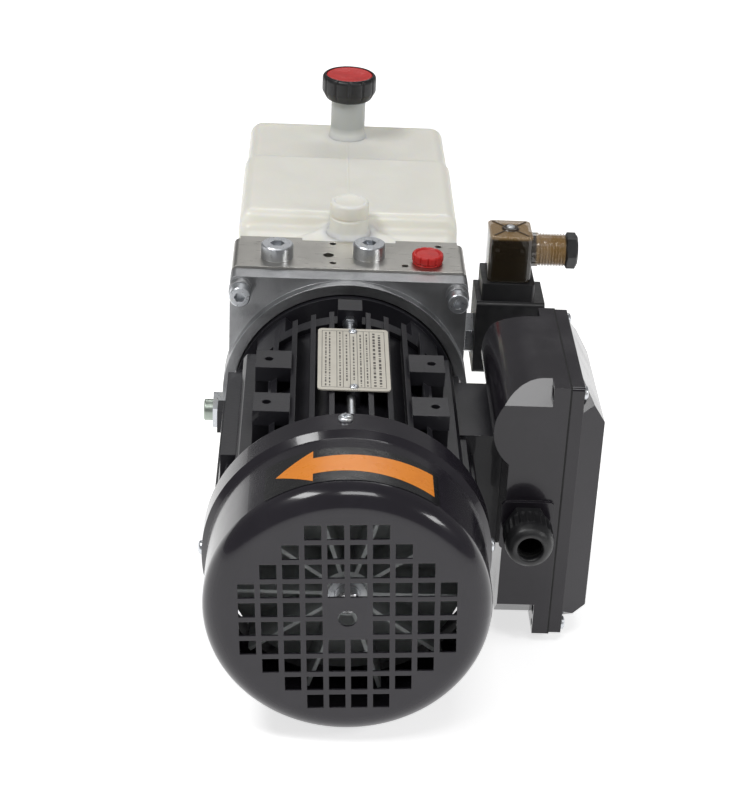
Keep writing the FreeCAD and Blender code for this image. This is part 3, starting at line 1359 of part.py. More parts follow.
def gear_tip():
    """The gears' outer radius."""
    return centre_distance() / 2 + S.gear_addendum


def pump_heights():
    """The pump body's lowest and highest Z."""
    reach = gear_tip() + S.pump_margin
    return (axis - centre_distance() - reach, axis + reach)


def pump_bolt_places():
    """The four pump bolts, as X and Z."""
    low, high = pump_heights()
    heights = (low + S.pump_bolt_margin, high - S.pump_bolt_margin)
    return [(side * S.pump_bolt_wide, up) for side in SIDES for up in heights]


def make_pump_body():
    """The pump's housing: a block with two bores that overlap, and a suction port below."""
    half = S.pump_half_width
    start = pump_front()
    depth = pump_depth()
    low, high = pump_heights()
    body = block((-half, half), (start, start + depth), (low, high))
    body = rounded(body, S.coil_edge, along(Vector(0, 1, 0)))
    bore = gear_tip() + S.gear_bore_gap
    tools = [rod((0, start, up), bore, depth) for up in (axis, axis - centre_distance())]
    for across, up in pump_bolt_places():
        tools.append(rod((across, start, up), S.pump_bolt_shank + S.fit_gap, depth))
    port = (sized(0), start + depth / 2, low)
    tools.append(rod(port, S.suction_radius + S.fit_gap, S.pump_margin * 0.8, TO_Z))
    node("pump_body", cut(body, *tools))
    cover_start = start + depth
    cover = block((-half, half), (cover_start, cover_start + S.pump_cover), (low, high))
    cover = rounded(cover, S.coil_edge, along(Vector(0, 1, 0)))
    holes = [rod((across, cover_start, up), S.pump_bolt_shank + S.fit_gap, S.pump_cover)
             for across, up in pump_bolt_places()]
    node("pump_cover", cut(cover, *holes))
    length = depth + S.pump_cover + S.pump_bolt_in
    sizes = (S.pump_bolt_shank, S.pump_bolt_head, S.pump_bolt_head_height, length, S.pump_bolt_head)
    back = cover_start + S.pump_cover
    bolts = [socket_screw((across, back, up), *sizes, TO_Y) for across, up in pump_bolt_places()]
    node("pump_bolts", group(*bolts))


def make_pump_bushes():
    """Two eight-shaped bearing blocks, one each side of the gears."""
    start = pump_front()
    far = start + S.bush_length + S.gear_width + S.side_gap * 2
    bushes = []
    for at in (start, far):
        discs = [rod((0, at, up), gear_tip() + S.gear_bore_gap - S.fit_gap, S.bush_length)
                 for up in (axis, axis - centre_distance())]
        hole = S.pump_shaft_radius + S.shaft_gap
        holes = [rod((0, at, up), hole, S.bush_length) for up in (axis, axis - centre_distance())]
        bushes.append(cut(fuse(*discs), *holes))
    node("pump_bushes", group(*bushes))


def flank(base, pitch, tip, half_tooth, side):
    """One involute flank, as a curve from the base circle to the tip circle."""
    def roll(radius):
        ratio = max((radius / base) ** 2 - 1, 0)
        return math.sqrt(ratio) - math.atan(math.sqrt(ratio))
    points = []
    for step in range(6):
        radius = base + (tip - base) * step / 5
        angle = side * (half_tooth + roll(pitch) - roll(radius))
        points.append(Vector(radius * math.cos(angle), radius * math.sin(angle), 0))
    curve = Part.BSplineCurve()
    curve.interpolate(points)
    return curve.toShape(), points


def gear_tooth():
    """One tooth as a face that reaches inside the root circle."""
    pitch = float(centre_distance()) / 2
    base = pitch * math.cos(math.radians(PRESSURE_ANGLE))
    tip = pitch + float(S.gear_addendum)
    space = math.pi / float(S.gear_teeth)
    half_tooth = space / 2 - float(S.gear_backlash) / 2 / pitch
    right, right_points = flank(base, pitch, tip, half_tooth, -1)
    left, left_points = flank(base, pitch, tip, half_tooth, 1)
    crown = Part.Arc(right_points[-1], Vector(tip, 0, 0), left_points[-1]).toShape()
    inner = base * 0.7
    foot_right = Vector(inner, right_points[0].y * 0.7, 0)
    foot_left = Vector(inner, left_points[0].y * 0.7, 0)
    edges = [Part.LineSegment(foot_right, right_points[0]).toShape(), right, crown, left,
             Part.LineSegment(left_points[0], foot_left).toShape(),
             Part.LineSegment(foot_left, foot_right).toShape()]
    return Part.Face(Part.Wire(Part.__sortEdges__(edges)))


def gear_wheel(first_tooth):
    """A spur gear about its own Z axis, with its first tooth at an angle."""
    width = float(S.gear_width)
    root = float(centre_distance()) / 2 - float(S.gear_dedendum)
    tooth = gear_tooth().extrude(Vector(0, 0, width))
    wheel = Part.makeCylinder(root, width)
    teeth = []
    count = int(float(S.gear_teeth))
    for number in range(count):
        one = tooth.copy()
        one.rotate(Vector(0, 0, 0), Vector(0, 0, 1), first_tooth + 360 * number / count)
        teeth.append(one)
    return wheel.multiFuse(teeth).removeSplitter()


def make_gears():
    """The drive gear with its long shaft, and the driven gear with its short one."""
    start = pump_front() + S.bush_length + S.side_gap
    half_pitch = 180 / float(S.gear_teeth)
    back = S.gear_width + S.side_gap + S.bush_length - S.run_gap
    drive_front = shaft_end() + 2
    shafts = (
        ("drive_gear", axis, 90, start - drive_front),
        ("driven_gear", axis - centre_distance(), -90 + half_pitch, S.bush_length - S.run_gap),
    )
    for label, height, first_tooth, reach in shafts:
        wheel = gear_wheel(first_tooth)
        shaft = Part.makeCylinder(float(S.pump_shaft_radius), float(reach + back), Vector(0, 0, -float(reach)))
        whole = doc.addObject("Part::Feature", label)
        whole.Shape = wheel.fuse(shaft).removeSplitter()
        place(whole, (sized(0), start, height), TO_Y)
        node(label, whole)


def make_suction_and_return():
    """The suction tube with its strainer, and the return tube."""
    low, _ = pump_heights()
    middle = pump_front() + pump_depth() / 2
    floor = axis - S.tank_bottom + S.tank_wall + S.strainer_clear
    top = low + S.pump_margin * 0.8 - S.fit_gap
    tube = rod((0, middle, floor + S.strainer_height / 2), S.suction_radius,
               top - floor - S.strainer_height / 2, TO_Z)
    dish = rod((0, middle, floor), S.strainer_radius, S.strainer_height, TO_Z)
    dish = rounded(dish, 2, lambda edge: isinstance(edge.Curve, Part.Circle))
    bore = rod((0, middle, floor + S.strainer_height / 2), S.suction_radius - S.suction_wall,
               top - floor, TO_Z)
    node("suction_strainer", cut(fuse(dish, tube), bore))
    at = (S.return_wide, spigot_back - S.return_seat, axis + S.return_up)
    inner = S.return_radius - S.suction_wall
    node("return_tube", ring(at, S.return_radius, inner, S.return_length))


# Tank


def tank_shell(inset):
    """The tank's solid, inset from its outside: collar, middle and back."""
    top = axis + S.tank_top - inset
    low = axis - S.tank_bottom + inset
    crease = manifold_back + S.tank_crease
    collar_low = axis - S.collar_bottom + inset
    collar_top = axis + S.collar_top - inset
    half = S.tank_half_width - inset
    back_half = S.tank_back_half_width - inset
    front = manifold_back
    collar = block((-half, half), (front, collar_back + inset * 2), (collar_low, collar_top))
    collar = rounded(collar, S.collar_corner - inset, along(Vector(0, 1, 0)))
    middle = block((-half, half), (collar_back + inset, crease), (low, top))
    middle = rounded(middle, S.tank_corner - inset, along(Vector(0, 1, 0)))
    rear = block((-back_half, back_half), (crease, tank_back - inset), (low, top))
    rear = rounded(rear, S.tank_corner - inset, along(Vector(0, 1, 0)))
    return fuse(collar, middle, rear)


def neck_line():
    """The filler neck's station on Y."""
    return manifold_back + S.neck_setback


def make_tank():
    """The blow-moulded tank: a collar open to the block, a closed boss and the filler neck."""
    base = axis + S.tank_top - S.tank_wall
    boss_at = (sized(0), manifold_back + S.boss_setback, axis + S.collar_top - S.tank_wall)
    boss = rod(boss_at, S.boss_radius, S.boss_top - S.collar_top + S.tank_wall, TO_Z)
    neck = rod((sized(0), neck_line(), base), S.neck_radius, S.neck_top - S.tank_top + S.tank_wall, TO_Z)
    bore = rod((sized(0), neck_line(), base - 1), S.neck_radius - S.neck_wall,
               S.neck_top - S.tank_top + S.tank_wall + 1, TO_Z)
    room = rod(boss_at, S.boss_radius - S.tank_wall, S.boss_top - S.collar_top, TO_Z)
    holes = []
    for side in SIDES:
        for up in SIDES:
            at = (side * S.tank_half_width, manifold_back + S.tank_screw_line,
                  axis + up * S.tank_screw_up)
            turn = TO_X if side < 0 else TO_MINUS_X
            holes.append(rod(at, S.small_shank + S.fit_gap, S.tank_wall, turn))
    node("tank", cut(fuse(tank_shell(0), boss, neck), tank_shell(S.tank_wall), bore, room, *holes))


def make_tank_seal_and_screws():
    """The rubber ring round the spigot, and the four screws through the tank's collar."""
    seal = seal_frame(S.seal_depth, manifold_back + S.seal_line, S.seal_side)
    node("tank_seal", seal)
    screws = []
    for side in SIDES:
        for up in SIDES:
            at = (side * S.tank_half_width, manifold_back + S.tank_screw_line,
                  axis + up * S.tank_screw_up)
            turn = TO_MINUS_X if side < 0 else TO_X
            screws.append(pan_screw(at, S.tank_screw_length, turn))
    node("tank_screws", group(*screws))


def make_filler_cap():
    """The breather cap, its red disc and the sealing ring under it."""
    neck_top = axis + S.neck_top
    gap = S.run_gap
    node("cap_gasket", ring((sized(0), neck_line(), neck_top), S.neck_radius, S.neck_radius - S.neck_wall,
                            S.gasket_height, TO_Z))
    radius = S.cap_radius
    low = S.cap_bottom - S.neck_top
    inner = S.neck_radius + S.cap_skirt_gap
    ceiling = S.gasket_height + S.side_gap
    top = low + S.cap_height
    points = [(0, ceiling), (inner, ceiling), (inner, low), (inner + S.cap_top_wall * 0.7, low)]
    points += [(radius * 0.9, low + S.cap_chamfer), (radius, low + S.cap_chamfer * 1.3)]
    points += [(radius, top - 1.5), (radius - 1.5, top), (S.disc_radius + gap, top)]
    points += [(S.disc_radius + gap, top - S.disc_height), (0, top - S.disc_height)]
    cap = turned(points, (sized(0), neck_line(), neck_top), TO_Z)
    notches = []
    for number in range(int(float(S.cap_notches))):
        angle = 2 * math.pi * number / float(S.cap_notches)
        x = radius * 1.02 * math.cos(angle)
        y = neck_line() + radius * 1.02 * math.sin(angle)
        notches.append(rod((x, y, neck_top + low), S.cap_notch_radius * 0.6, S.cap_height, TO_Z))
    node("filler_cap", cut(cap, *notches))
    disc_at = (sized(0), neck_line(), neck_top + top - S.disc_height)
    node("filler_cap_disc", rod(disc_at, S.disc_radius, S.disc_height * 0.8, TO_Z))


def export():
    """Check every object and every sub-part, then write the sub-parts."""
    doc.recompute()
    failed = [piece.Name for piece in doc.Objects if {"Invalid", "Error"} & set(piece.State)]
    if failed:
        raise RuntimeError(f"failed objects: {failed}")
    for piece in NODES:
        if piece.Shape.isNull() or not piece.Shape.isValid():
            raise RuntimeError(f"{piece.Label} has no valid shape")
    os.makedirs("parts", exist_ok=True)
    for piece in NODES:
        piece.Shape.exportStep(f"parts/{piece.Label}.step")
    print(len(NODES), "sub-parts written")


def main():
    """Make every sub-part and write them all."""
    make_motor_frame()
    make_fan_end_shield()
    make_cowl_screws()
    make_fan_cowl()
    make_cooling_fan()
    make_fan_clip()
    make_direction_label()
    make_drive_end_shield()
    make_tie_bolts()
    make_stator()
    make_rotor()
    make_bearings()
    make_nameplate()
    make_terminal_box_base()
    make_terminal_box_gasket()
    make_terminal_box_lid()
    make_lid_screws()
    make_terminal_box_inside()
    make_cable_gland()
    make_motor_adapter()
    make_adapter_bolts()
    make_manifold_block()
    make_port_plugs()
    make_red_port_cap()
    make_solenoid_valve()
    make_connector()
    make_relief_valve()
    make_coupling_and_seal()
    make_pump_body()
    make_pump_bushes()
    make_gears()
    make_suction_and_return()
    make_tank()
    make_tank_seal_and_screws()
    make_filler_cap()
    export()


main()
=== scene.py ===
import json
import math

import bmesh
import bpy
import numpy as np
from bpy.props import FloatProperty, FloatVectorProperty, IntProperty, PointerProperty
from mathutils import Matrix, Vector


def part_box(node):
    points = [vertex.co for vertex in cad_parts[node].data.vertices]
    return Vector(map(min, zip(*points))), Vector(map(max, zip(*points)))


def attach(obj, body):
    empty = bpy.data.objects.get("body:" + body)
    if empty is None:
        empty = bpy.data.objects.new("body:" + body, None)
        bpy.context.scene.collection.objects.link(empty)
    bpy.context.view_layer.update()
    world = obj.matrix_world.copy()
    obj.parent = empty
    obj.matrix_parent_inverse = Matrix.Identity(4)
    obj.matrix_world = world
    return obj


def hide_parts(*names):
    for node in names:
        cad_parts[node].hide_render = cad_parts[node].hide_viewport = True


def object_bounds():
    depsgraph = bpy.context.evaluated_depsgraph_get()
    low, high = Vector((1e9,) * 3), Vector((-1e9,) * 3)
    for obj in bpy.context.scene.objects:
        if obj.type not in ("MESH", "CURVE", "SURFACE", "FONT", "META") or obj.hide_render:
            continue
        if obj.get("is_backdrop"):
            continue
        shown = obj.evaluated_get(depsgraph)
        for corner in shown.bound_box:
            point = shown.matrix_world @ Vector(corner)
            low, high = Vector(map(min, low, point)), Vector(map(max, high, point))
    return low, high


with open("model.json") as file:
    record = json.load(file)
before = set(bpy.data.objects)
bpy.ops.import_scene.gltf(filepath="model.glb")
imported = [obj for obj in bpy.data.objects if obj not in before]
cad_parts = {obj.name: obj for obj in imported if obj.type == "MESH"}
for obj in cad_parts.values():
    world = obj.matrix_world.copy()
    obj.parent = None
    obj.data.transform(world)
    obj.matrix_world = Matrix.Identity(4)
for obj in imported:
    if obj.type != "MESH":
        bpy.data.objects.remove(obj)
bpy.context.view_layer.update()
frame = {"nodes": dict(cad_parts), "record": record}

bl_info = {
    "name": "Hydraulic power unit",
    "version": (1, 0, 0),
    "blender": (4, 5, 0),
    "location": "3D View > Sidebar > Power unit",
    "description": "Finishes and fine surfaces of a small hydraulic power unit",
    "category": "Add Mesh",
}

MM = 0.001
TURN = 2 * math.pi
AXIS_HEIGHT = 84 * MM


# Sizes

def length_size(name, description, default):
    """A length in metres that the panel shows."""
    return FloatProperty(name=name, description=description, default=default, unit="LENGTH")


def angle_size(name, description, default):
    """An angle in radians that the panel shows."""
    return FloatProperty(name=name, description=description, default=default, subtype="ANGLE",
                         unit="ROTATION")


# Surfaces

def node_box(name):
    """The lowest and highest corners of a CAD node, as two arrays in metres."""
    low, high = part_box(name)
    return np.array(low), np.array(high)


def upright_centre(low, high):
    """The middle of a box in plan, at the frame's floor, for a surface turned about Z."""
    return (low[0] + high[0]) / 2, (low[1] + high[1]) / 2, 0


def frame_along(direction):
    """Three unit directions: two across a direction and the direction itself, as a matrix's columns."""
    along = np.array(direction, float)
    along = along / np.linalg.norm(along)
    side = np.cross(np.array((0.0, 0.0, 1.0)), along)
    if np.linalg.norm(side) < 1e-6:
        side = np.cross(np.array((0.0, 1.0, 0.0)), along)
    side = side / np.linalg.norm(side)
    return np.stack([side, np.cross(along, side), along], axis=1)


def eased(profile, radius, steps=4, closed=False):
    """An outline with each corner replaced by a short curve.

    The curve is a quadratic Bezier that leaves the corner's two sides at the given distance, or at
    just under half of the shorter side.
    """
    corners = np.array(profile, float)
    before = np.roll(corners, 1, axis=0)
    after = np.roll(corners, -1, axis=0)
    back = before - corners
    ahead = after - corners
    back_length = np.maximum(np.linalg.norm(back, axis=1), 1e-9)
    ahead_length = np.maximum(np.linalg.norm(ahead, axis=1), 1e-9)
    reach = np.minimum(radius, np.minimum(back_length, ahead_length) * 0.49)
    start = corners + back * (reach / back_length)[:, None]
    end = corners + ahead * (reach / ahead_length)[:, None]
    t = np.linspace(0, 1, steps + 1)[None, :, None]
    curve = (1 - t) ** 2 * start[:, None] + 2 * t * (1 - t) * corners[:, None] + t ** 2 * end[:, None]
    if closed:
        return curve.reshape(-1, corners.shape[1])
    rows = [corners[:1]] + [curve[index] for index in range(1, len(corners) - 1)] + [corners[-1:]]
    return np.concatenate(rows)


def quads(rows, columns, around, first=0):
    """Faces between neighbouring rows of a grid, joined end to end where the rows are rings."""
    spans = columns if around else columns - 1
    row = np.arange(rows - 1)[:, None] * columns
    column = np.arange(spans)[None, :]
    following = (column + 1) % columns
    corners = [row + column, row + following, row + columns + following, row + columns + column]
    return np.stack(corners, axis=-1).reshape(-1, 4) + first


def mesh_piece(name, sheets, material, crease=32, weld=1e-6, outward=True):
    """One object from several grids of points.

    Each sheet is a pair: an array of rows by columns of points in metres, and whether its rows are
    closed rings. Equal points are welded, which closes seams and poles, and faces are turned outwards.
    """
    points = []
    faces = []
    count = 0
    for grid, around in sheets:
        rows, columns = grid.shape[:2]
        points.append(grid.reshape(-1, 3))
        faces.append(quads(rows, columns, around, count))
        count += rows * columns
    points = np.concatenate(points)
    faces = np.concatenate(faces)
    mesh = bpy.data.meshes.new(name)
    mesh.vertices.add(len(points))
    mesh.vertices.foreach_set("co", points.astype(np.float32).ravel())
    mesh.loops.add(faces.size)
    mesh.loops.foreach_set("vertex_index", faces.astype(np.int32).ravel())
    mesh.polygons.add(len(faces))
    mesh.polygons.foreach_set("loop_start", np.arange(0, faces.size, 4, dtype=np.int32))
    mesh.update(calc_edges=True)
    work = bmesh.new()
    work.from_mesh(mesh)
    bmesh.ops.remove_doubles(work, verts=work.verts, dist=weld)
    bmesh.ops.dissolve_degenerate(work, edges=work.edges, dist=weld)
    if outward:
        bmesh.ops.recalc_face_normals(work, faces=work.faces)
    work.to_mesh(mesh)
    work.free()
    mesh.validate()
    mesh.polygons.foreach_set("use_smooth", np.ones(len(mesh.polygons), dtype=bool))
    mesh.set_sharp_from_angle(angle=math.radians(crease))
    mesh.materials.append(material)
    piece = bpy.data.objects.new(name, mesh)
    bpy.context.scene.collection.objects.link(piece)
    return piece


def lathe(profile, centre, direction=(0, 0, 1), steps=64, wave=None):
    """A turned surface: each profile point is a radius and a height along the axis.

    With a wave, the radius is also a function of the angle: radius times wave(angle, radius, height).
    """
    outline = np.array(profile, float)
    angle = np.arange(steps) / steps * TURN
    radius = outline[:, :1] * np.ones((1, steps))
    height = outline[:, 1:2] * np.ones((1, steps))
    if wave is not None:
        radius = radius * wave(angle[None, :], radius, height)
    local = np.stack([radius * np.cos(angle), radius * np.sin(angle), height], axis=-1)
    return local @ frame_along(direction).T + np.array(centre, float), True


def rounded_rectangle(half_wide, half_high, radius, steps=8):
    """A closed outline of straight sides and round corners, anticlockwise from the first corner."""
    quarter = np.linspace(0, math.pi / 2, steps + 1)
    angle = (np.arange(4)[:, None] * math.pi / 2 + quarter[None, :]).ravel()
    corner = np.repeat(np.array([(1, 1), (-1, 1), (-1, -1), (1, -1)], float), steps + 1, axis=0)
    centre = corner * np.array([half_wide - radius, half_high - radius])
    return centre + radius * np.stack([np.cos(angle), np.sin(angle)], axis=-1)


# Finishes

class Finish:
    """A material made of nodes that read Object coordinates."""

    def __init__(self, name, colour, roughness, metallic=0.0, **sockets):
        self.material = bpy.data.materials.new(name)
        self.material.use_nodes = True
        self.tree = self.material.node_tree
        self.shader = self.tree.nodes["Principled BSDF"]
        self.shader.inputs["Base Color"].default_value = (*colour, 1)
        self.shader.inputs["Roughness"].default_value = roughness
        self.shader.inputs["Metallic"].default_value = metallic
        for socket, amount in sockets.items():
            self.shader.inputs[socket.replace("_", " ")].default_value = amount
        self.place = self.add("ShaderNodeTexCoord").outputs["Object"]
        self.bumps = None
        self.corner = None

    def add(self, kind, **settings):
        """A new node with its settings."""
        made = self.tree.nodes.new(kind)
        for setting, amount in settings.items():
            setattr(made, setting, amount)
        return made

    def join(self, source, target):
        """A link, or a plain number where the source is one."""
        if isinstance(source, (int, float)):
            target.default_value = source
        else:
            self.tree.links.new(source, target)

    def mapped(self, stretch=(1, 1, 1), turn=(0, 0, 0), shift=(0, 0, 0)):
        """Object coordinates turned and stretched."""
        mapping = self.add("ShaderNodeMapping")
        self.join(self.place, mapping.inputs["Vector"])
        mapping.inputs["Scale"].default_value = stretch
        mapping.inputs["Rotation"].default_value = turn
        mapping.inputs["Location"].default_value = shift
        return mapping.outputs["Vector"]

    def noise(self, scale, detail=3.0, stretch=(1, 1, 1), rough=0.5, distortion=0.0):
        """Cloudy variation from 0 to 1 of the given scale per metre."""
        cloud = self.add("ShaderNodeTexNoise")
        self.join(self.mapped(stretch), cloud.inputs["Vector"])
        cloud.inputs["Scale"].default_value = scale
        cloud.inputs["Detail"].default_value = detail
        cloud.inputs["Roughness"].default_value = rough
        cloud.inputs["Distortion"].default_value = distortion
        return cloud.outputs["Fac"]

    def grains(self, scale, stretch=(1, 1, 1)):
        """Distance to the nearest of scattered points, as on a cast or sintered surface."""
        cells = self.add("ShaderNodeTexVoronoi")
        self.join(self.mapped(stretch), cells.inputs["Vector"])
        cells.inputs["Scale"].default_value = scale
        return cells.outputs["Distance"]

    def ranged(self, source, low, high, to_low=0.0, to_high=1.0):
        """A value moved from one range to another and held inside it."""
        moved = self.add("ShaderNodeMapRange", clamp=True)
        self.join(source, moved.inputs["Value"])
        limits = {"From Min": low, "From Max": high, "To Min": to_low, "To Max": to_high}
        for socket, amount in limits.items():
            self.join(amount, moved.inputs[socket])
        return moved.outputs["Result"]

    def patches(self, scale, detail, low, high, most=1.0):
        """Cloudy patches: the noise between two levels, moved to the range from 0 to the most."""
        return self.ranged(self.noise(scale, detail), low, high, 0.0, most)

    def sums(self, operation, first, second):
        """One arithmetic step."""
        step = self.add("ShaderNodeMath", operation=operation)
        self.join(first, step.inputs[0])
        self.join(second, step.inputs[1])
        return step.outputs[0]

    def tint(self, factor, colour):
        """Another colour laid over the base colour where the factor is high."""
        mixed = self.add("ShaderNodeMix", data_type="RGBA")
        self.join(factor, mixed.inputs["Factor"])
        target = self.shader.inputs["Base Color"]
        if target.is_linked:
            self.join(target.links[0].from_socket, mixed.inputs["A"])
        else:
            mixed.inputs["A"].default_value = target.default_value
        mixed.inputs["B"].default_value = (*colour, 1)
        self.join(mixed.outputs["Result"], target)
        return self

    def wear(self, factor, roughness):
        """Another roughness where the factor is high."""
        mixed = self.add("ShaderNodeMix", data_type="FLOAT")
        self.join(factor, mixed.inputs["Factor"])
        target = self.shader.inputs["Roughness"]
        if target.is_linked:
            self.join(target.links[0].from_socket, mixed.inputs["A"])
        else:
            mixed.inputs["A"].default_value = target.default_value
        mixed.inputs["B"].default_value = roughness
        self.join(mixed.outputs["Result"], target)
        return self

    def soft_corners(self, radius):
        """Edges that shade as if they were rounded."""
        bevel = self.add("ShaderNodeBevel", samples=6)
        bevel.inputs["Radius"].default_value = radius
        self.corner = bevel.outputs["Normal"]
        self.join(self.corner, self.shader.inputs["Normal"])
        return self

    def edges(self, sharpness=0.25):
        """Where a softened edge turns away from its face, from 0 on a face to 1 on an edge."""
        shape = self.add("ShaderNodeNewGeometry").outputs["Normal"]
        product = self.add("ShaderNodeVectorMath", operation="DOT_PRODUCT")
        self.join(self.corner, product.inputs[0])
        self.join(shape, product.inputs[1])
        return self.ranged(product.outputs["Value"], 1.0 - sharpness, 0.995, 1.0, 0.0)

    def relief(self, source, strength, distance):
        """A fine relief on top of any earlier one."""
        bump = self.add("ShaderNodeBump")
        bump.inputs["Strength"].default_value = strength
        bump.inputs["Distance"].default_value = distance
        self.join(source, bump.inputs["Height"])
        earlier = self.bumps or self.corner
        if earlier is not None:
            self.join(earlier, bump.inputs["Normal"])
        self.bumps = bump.outputs["Normal"]
        self.join(self.bumps, self.shader.inputs["Normal"])
        return self


def painted(name, colour, roughness, coat, orange_peel, edge_radius, edge_colour, edge_roughness):
    """Sprayed paint on a casting or a sheet: fine orange peel, dust in patches, thinner on edges."""
    finish = Finish(name, colour, roughness, Coat_Weight=coat, Coat_Roughness=0.04, Specular_IOR_Level=0.3)
    finish.soft_corners(edge_radius)
    dust = finish.patches(38, 6, 0.45, 0.75)
    finish.tint(finish.sums("MULTIPLY", dust, 0.25), tuple(part * 1.9 + 0.006 for part in colour))
    finish.wear(finish.sums("MULTIPLY", dust, 0.5), min(roughness + 0.16, 1.0))
    rubbed = finish.patches(160, 5, 0.35, 0.6)
    worn = finish.sums("MULTIPLY", finish.edges(), rubbed)
    finish.tint(finish.sums("MULTIPLY", worn, 0.75), edge_colour)
    finish.wear(worn, edge_roughness)
    finish.relief(finish.noise(420, 2), orange_peel, 0.0004)
    finish.relief(finish.noise(60, 3), orange_peel * 0.6, 0.001)
    return finish.material


def motor_paint():
    """Satin charcoal paint over a sand-textured aluminium casting."""
    return painted("motor_paint", (0.015, 0.0145, 0.018), roughness=0.34, coat=0.25, orange_peel=0.16,
                   edge_radius=0.0004, edge_colour=(0.075, 0.078, 0.085), edge_roughness=0.24)


def cowl_paint():
    """Gloss charcoal paint on pressed steel."""
    return painted("cowl_paint", (0.017, 0.015, 0.020), roughness=0.16, coat=0.35, orange_peel=0.025,
                   edge_radius=0.0005, edge_colour=(0.035, 0.035, 0.040), edge_roughness=0.16)


def box_paint():
    """Gloss charcoal paint on the die-cast terminal box."""
    return painted("box_paint", (0.015, 0.013, 0.017), roughness=0.18, coat=0.35, orange_peel=0.04,
                   edge_radius=0.0005, edge_colour=(0.045, 0.045, 0.050), edge_roughness=0.16)


def bare_metal(name, colour, roughness, stretch, scratch, edge_radius, grain=500):
    """Bare metal with fine tool or handling marks along one direction, and a painted highlight along its
    edges.
    """
    finish = Finish(name, colour, roughness, 1.0)
    finish.soft_corners(edge_radius)
    marks = finish.noise(grain, 4, stretch)
    stains = finish.patches(45, 5, 0.4, 0.7)
    finish.tint(finish.sums("MULTIPLY", stains, 0.4), tuple(part * 0.72 for part in colour))
    finish.wear(finish.ranged(marks, 0.3, 0.75, 0.0, 0.7), min(roughness + 0.18, 1.0))
    # Painted highlight: every softened edge is tinted brighter.
    finish.tint(finish.edges(), tuple(min(part * 1.25, 1.0) for part in colour))
    finish.relief(marks, scratch, 0.0003)
    return finish


def laminated_steel():
    """Stacked steel sheets across the motor's axis."""
    finish = bare_metal("laminated_steel", (0.33, 0.33, 0.35), 0.42, (1, 1, 1), 0.1, 0.0003)
    finish.relief(finish.noise(900, 1, (0.02, 1, 0.02)), 0.7, 0.0005)
    return finish.material


def copper_winding():
    """Varnished copper wire wound round the axis."""
    finish = Finish("copper_winding", (0.55, 0.20, 0.07), 0.3, 0.75, Coat_Weight=0.5)
    finish.tint(finish.patches(240, 5, 0.4, 0.7), (0.26, 0.08, 0.03))
    finish.relief(finish.noise(700, 3, (1, 0.3, 1)), 0.8, 0.001)
    return finish.material


def ground_steel():
    """Bright ground steel."""
    return bare_metal("ground_steel", (0.62, 0.62, 0.63), 0.2, (1, 8, 1), 0.08, 0.0002).material


def fan_plastic():
    """Pale grey moulded plastic of the cooling fan."""
    finish = Finish("fan_plastic", (0.42, 0.44, 0.44), 0.45, Specular_IOR_Level=0.4)
    finish.soft_corners(0.0005)
    finish.tint(finish.patches(90, 5, 0.45, 0.75, 0.5), (0.20, 0.21, 0.21))
    finish.relief(finish.noise(900, 2), 0.15, 0.0003)
    return finish.material


def zinc_steel():
    """Blue-white zinc plate on screws, clips and plugs."""
    finish = bare_metal("zinc_steel", (0.66, 0.68, 0.71), 0.26, (1, 1, 1), 0.12, 0.00025, 900)
    finish.tint(finish.patches(130, 3, 0.55, 0.8, 0.35), (0.62, 0.58, 0.42))
    return finish.material


def adjuster_steel():
    """Grey-green passivated steel of the relief valve's stub."""
    finish = bare_metal("adjuster_steel", (0.42, 0.47, 0.42), 0.34, (1, 1, 1), 0.15, 0.0003, 700)
    finish.tint(finish.patches(170, 4, 0.5, 0.75, 0.5), (0.26, 0.32, 0.27))
    return finish.material


def rubber():
    """Matt black rubber."""
    finish = Finish("rubber", (0.012, 0.012, 0.012), 0.72, Specular_IOR_Level=0.35)
    finish.tint(finish.patches(120, 5, 0.5, 0.8, 0.5), (0.03, 0.03, 0.028))
    finish.relief(finish.noise(1200, 2), 0.25, 0.0003)
    return finish.material


def black_plastic():
    """Black moulded nylon with a fine spark-eroded grain."""
    finish = Finish("black_plastic", (0.010, 0.010, 0.011), 0.34, Specular_IOR_Level=0.5)
    finish.soft_corners(0.0005)
    finish.tint(finish.patches(70, 6, 0.5, 0.8, 0.5), (0.022, 0.022, 0.023))
    finish.wear(finish.patches(200, 4, 0.35, 0.7), 0.5)
    # Painted highlight: the softened edges are tinted lighter.
    finish.tint(finish.sums("MULTIPLY", finish.edges(), 0.5), (0.05, 0.05, 0.052))
    finish.relief(finish.grains(2600), 0.14, 0.0002)
    return finish.material


def capacitor_plastic():
    """Pale plastic can of the run capacitor."""
    finish = Finish("capacitor_plastic", (0.60, 0.60, 0.57), 0.4)
    finish.relief(finish.noise(500, 3), 0.15, 0.0004)
    finish.tint(finish.patches(60, 4, 0.5, 0.8, 0.4), (0.42, 0.41, 0.37))
    return finish.material


def board_plastic():
    """Brown moulded board under the motor's terminals."""
    finish = Finish("board_plastic", (0.16, 0.07, 0.035), 0.45)
    finish.tint(finish.patches(300, 6, 0.4, 0.7, 0.6), (0.08, 0.035, 0.02))
    finish.relief(finish.noise(800, 3), 0.2, 0.0003)
    return finish.material


def cast_aluminium():
    """Bare die-cast aluminium: cloudy flow marks, a dull skin and a painted highlight along its edges."""
    finish = bare_metal("cast_aluminium", (0.44, 0.445, 0.455), 0.36, (1, 1, 1), 0.18, 0.0006, 650)
    flow_marks = finish.ranged(finish.noise(28, 7, distortion=1.2), 0.42, 0.7, 0.0, 0.55)
    finish.tint(flow_marks, (0.22, 0.225, 0.235))
    finish.relief(finish.grains(1500), 0.25, 0.0003)
    return finish.material


